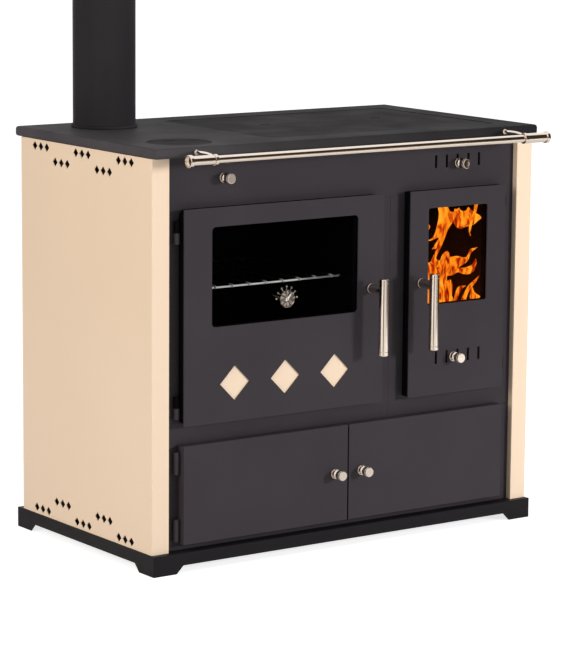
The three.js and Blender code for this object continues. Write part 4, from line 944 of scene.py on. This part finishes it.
class COOKSTOVE_OT_knobs(bpy.types.Operator):
    """Turned knobs of the damper, the air sliders and the cupboard"""

    bl_idname = "cookstove.knobs"
    bl_label = "Knobs"

    def execute(self, context):
        size = sizes()
        body, waist, neck, flange, screw = size.knob_diameter / 2, 0.0080, 0.0045, 0.0105, 0.0030
        groove = body - 0.0005
        for node in (
            "flue_damper_knob", "primary_air_knob", "secondary_air_knob",
            "storage_knob_left", "storage_knob_right",
        ):
            low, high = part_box(node)
            centre = (low + high) / 2
            front = low.y
            seat = front + 0.0265
            profile = [
                (0.0, front + 0.0004), (body * 0.55, front), (body - 0.0008, front), (body, front + 0.0010),
                (body, front + 0.0030), (groove, front + 0.0034), (groove, front + 0.0042),
                (body, front + 0.0046), (body, front + 0.0090), (waist + 0.0007, front + 0.0104),
                (waist, front + 0.0120), (waist, front + 0.0160), (waist + 0.0010, front + 0.0176),
                (body, front + 0.0190), (body, front + 0.0198), (body - 0.0010, front + 0.0208),
                (neck, front + 0.0210), (neck, seat), (flange - 0.0007, seat), (flange, seat + 0.0008),
                (flange, seat + 0.0025), (screw, seat + 0.0025), (screw, high.y), (0.0, high.y),
            ]
            shape = bmesh.new()
            turn(shape, eased(profile, 0.0006, 3), (centre.x, 0, centre.z), "Y", 56)
            dress(as_object(shape, f"{node}_turned", 34), "chrome", node)
        return {"FINISHED"}


class COOKSTOVE_OT_air(bpy.types.Operator):
    """Air sliders behind the slots of the fire door and the face plate"""

    bl_idname = "cookstove.air"
    bl_label = "Air sliders"

    def execute(self, context):
        size = sizes()
        for node in ("primary_air_slider", "secondary_air_slider"):
            smooth_node(node, "dark_steel", size.sheet_edge * 0.5)
        return {"FINISHED"}


class COOKSTOVE_OT_cooktop(bpy.types.Operator):
    """Cast cooktop frame, hob plates, hob disc and cleaning lid"""

    bl_idname = "cookstove.cooktop"
    bl_label = "Cooktop"

    def execute(self, context):
        size = sizes()
        smooth_node("cooktop_frame", "cast_iron", size.casting_edge * 0.5, 2, angle=40)
        for node in ("hob_plate_left", "hob_plate_right", "hob_disc", "cleaning_lid"):
            smooth_node(node, "plate_iron", size.casting_edge, 2, slot="cast_iron", angle=40)
        return {"FINISHED"}


class COOKSTOVE_OT_rail(bpy.types.Operator):
    """Rail with its brackets, end sleeves and caps"""

    bl_idname = "cookstove.rail"
    bl_label = "Rail"

    def execute(self, context):
        size = sizes()
        low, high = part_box("rail_tube")
        centre = (low + high) / 2
        radius, wall = size.rail_diameter / 2, 0.0015
        shape = bmesh.new()
        turn(shape, [
            (radius - wall, low.x), (radius, low.x), (radius, high.x), (radius - wall, high.x),
        ], (0, centre.y, centre.z), "X", 48)
        dress(as_object(shape, "rail_tube_drawn"), "chrome", "rail_tube")
        for side, axis in (("left", "-X"), ("right", "X")):
            smooth_node(f"rail_bracket_{side}", "chrome", 0.0006, 2, angle=50)
            node = f"rail_finial_{side}"
            low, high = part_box(node)
            start, end = sorted((abs(low.x), abs(high.x)))
            bore, sleeve, cap = radius + 0.0003, radius + 0.0022, (high.z - low.z) / 2
            neck, edge, recess = end - 0.008, 0.001, end - 0.0042
            tube_end = neck + 0.0005
            profile = eased([
                (bore, start + 0.003), (bore, start), (sleeve, start), (sleeve, neck - edge), (cap, neck),
                (cap, end - edge), (cap - edge, end), (cap * 0.76, end), (cap * 0.72, recess), (0.0, recess),
            ], 0.0006, 3)
            shape = bmesh.new()
            turn(shape, [(0.0, tube_end), (bore, tube_end)] + profile, (0, centre.y, centre.z), axis, 48)
            dress(as_object(shape, f"{node}_turned"), "chrome", node)
        return {"FINISHED"}


class COOKSTOVE_OT_stage(bpy.types.Operator):
    """Floor, soft light and camera"""

    bl_idname = "cookstove.stage"
    bl_label = "Stage"

    def execute(self, context):
        under_feet = 0.0002
        shape = bmesh.new()
        bmesh.ops.create_grid(shape, x_segments=24, y_segments=24, size=30.0)
        for v in shape.verts:
            v.co.z -= under_feet
        floor = as_object(shape, "floor")
        floor.data.materials.append(self.floor_finish())
        self.sky()
        self.lamp("key", (2.6, -4.1, 1.35), (0.1, -0.2, 0.55), 0.75, 140.0, (1.0, 1.0, 1.0))
        self.lamp("left_fill", (-4.6, -1.2, 2.2), (-0.4, 0.0, 0.5), 2.4, 108.0, (1.0, 0.93, 0.85))
        dark = colours().card
        self.card("card_by_camera", dark, -35.3, 2.3, 0.62, 0.0, 1.25)
        self.card("card_front_right", dark, 38.0, 3.0, 3.2, 0.75, 3.4)
        self.card("card_low_right", colours().grey_card, 24.0, 2.9, 1.6, 0.0, 0.74)
        self.card("card_right", dark, 82.0, 2.5, 4.8, 0.0, 1.2)
        self.card("card_left", dark, -122.0, 2.5, 5.4, 0.0, 1.2)
        self.camera()
        return {"FINISHED"}

    def card(self, name, rgb, bearing, distance, width, bottom, height):
        """A studio card that only mirrors see; its bearing is in degrees to the right of straight in front"""
        shape = bmesh.new()
        bmesh.ops.create_grid(shape, x_segments=8, y_segments=8, size=0.5)
        angle = math.radians(bearing)
        away = Vector((math.sin(angle), -math.cos(angle), 0.0))
        along = Vector((math.cos(angle), math.sin(angle), 0.0))
        for v in shape.verts:
            v.co = away * distance + along * v.co.x * width + Vector((0, 0, bottom + (v.co.y + 0.5) * height))
        made = as_object(shape, name)
        felt, tree, shader, here = start_finish(name)
        feed(tree, shader, glow(mottled(tree, here, rgb, 0.1, 4.0), 1.0))
        made.data.materials.append(felt)
        made.visible_camera = made.visible_diffuse = made.visible_shadow = False
        made.visible_transmission = made.visible_volume_scatter = False

    def floor_finish(self):
        """Pale floor that looks white, and still takes the object's shadow"""
        made, tree, shader, here = start_finish("floor")
        path = put(tree, "ShaderNodeLightPath").outputs
        seen = calc(tree, "MAXIMUM", path["Is Camera Ray"], path["Is Transmission Ray"])
        mirrored = calc(tree, "MULTIPLY", path["Is Glossy Ray"], 0.2)
        feed(tree, shader, {
            "Emission Color": (1.0, 1.0, 1.0, 1.0),
            "Emission Strength": calc(tree, "MULTIPLY_ADD", seen, 0.76, mirrored),
            "Base Color": mottled(tree, here, colours().floor, 0.004, 0.4),
            "Roughness": 0.9,
            "Specular IOR Level": 0.1,
        })
        return made

    def sky(self):
        """White wherever it is seen or mirrored, and a plain light elsewhere"""
        world = bpy.data.worlds.new("studio")
        world.use_nodes = True
        tree = world.node_tree
        path = put(tree, "ShaderNodeLightPath").outputs
        seen = calc(tree, "MAXIMUM", path["Is Camera Ray"], path["Is Glossy Ray"])
        seen = calc(tree, "MAXIMUM", seen, path["Is Transmission Ray"])
        feed(tree, tree.nodes["Background"], {
            "Color": (1.0, 1.0, 1.0, 1.0), "Strength": remap(tree, seen, (0.0, 1.0), (0.40, 1.02)),
        })
        bpy.context.scene.world = world

    def lamp(self, name, place, target, width, power, rgb):
        """A round soft lamp that mirrors don't see"""
        light = bpy.data.lights.new(name, "AREA")
        light.shape = "DISK"
        light.size = width
        light.energy = power
        light.color = rgb
        made = bpy.data.objects.new(name, light)
        made.location = place
        made.rotation_euler = (Vector(target) - Vector(place)).to_track_quat("-Z", "Y").to_euler()
        made.visible_glossy = False
        bpy.context.scene.collection.objects.link(made)

    def camera(self):
        """The photograph's point of view"""
        yaw, pitch, roll = (math.radians(a) for a in (35.336, -9.575, 0.468))
        data = bpy.data.cameras.new("camera")
        data.sensor_width = 36.0
        data.lens = 163.177
        data.clip_end = 200.0
        made = bpy.data.objects.new("camera", data)
        ahead = Vector((math.sin(yaw) * math.cos(pitch), math.cos(yaw) * math.cos(pitch), math.sin(pitch)))
        right = Vector((math.cos(yaw), -math.sin(yaw), 0.0))
        up = right.cross(ahead)
        side = right * math.cos(roll) + up * math.sin(roll)
        top = up * math.cos(roll) - right * math.sin(roll)
        turned = Matrix((side, top, -ahead)).transposed().to_4x4()
        made.matrix_world = Matrix.Translation((-3.5419, -4.9837, 1.463)) @ turned
        bpy.context.scene.collection.objects.link(made)
        bpy.context.scene.camera = made
        bpy.context.scene.view_settings.view_transform = "Standard"


STEPS = (
    COOKSTOVE_OT_casing,
    COOKSTOVE_OT_inner_casing,
    COOKSTOVE_OT_oven,
    COOKSTOVE_OT_firebox,
    COOKSTOVE_OT_fire,
    COOKSTOVE_OT_smoke_path,
    COOKSTOVE_OT_doors,
    COOKSTOVE_OT_thermometer,
    COOKSTOVE_OT_handles,
    COOKSTOVE_OT_knobs,
    COOKSTOVE_OT_air,
    COOKSTOVE_OT_cooktop,
    COOKSTOVE_OT_rail,
    COOKSTOVE_OT_stage,
)


class COOKSTOVE_PT_panel(bpy.types.Panel):
    """Sizes, colours and steps of the cookstove"""

    bl_idname = "COOKSTOVE_PT_panel"
    bl_label = "Wood cookstove"
    bl_space_type = "VIEW_3D"
    bl_region_type = "UI"
    bl_category = "Cookstove"

    def draw(self, context):
        for group in (context.scene.cookstove_sizes, context.scene.cookstove_colours):
            box = self.layout.box()
            for name in group.bl_rna.properties.keys():
                if name not in ("rna_type", "name"):
                    box.prop(group, name)
        for step in STEPS:
            self.layout.operator(step.bl_idname)


CLASSES = (CookstoveSizes, CookstoveColours, *STEPS, COOKSTOVE_PT_panel)


def register():
    for cls in CLASSES:
        bpy.utils.register_class(cls)
    bpy.types.Scene.cookstove_sizes = bpy.props.PointerProperty(type=CookstoveSizes)
    bpy.types.Scene.cookstove_colours = bpy.props.PointerProperty(type=CookstoveColours)


def unregister():
    del bpy.types.Scene.cookstove_colours
    del bpy.types.Scene.cookstove_sizes
    for cls in reversed(CLASSES):
        bpy.utils.unregister_class(cls)


def main():
    register()
    for step in STEPS:
        group, name = step.bl_idname.split(".")
        getattr(getattr(bpy.ops, group), name)()


if __name__ == "__main__":
    main()
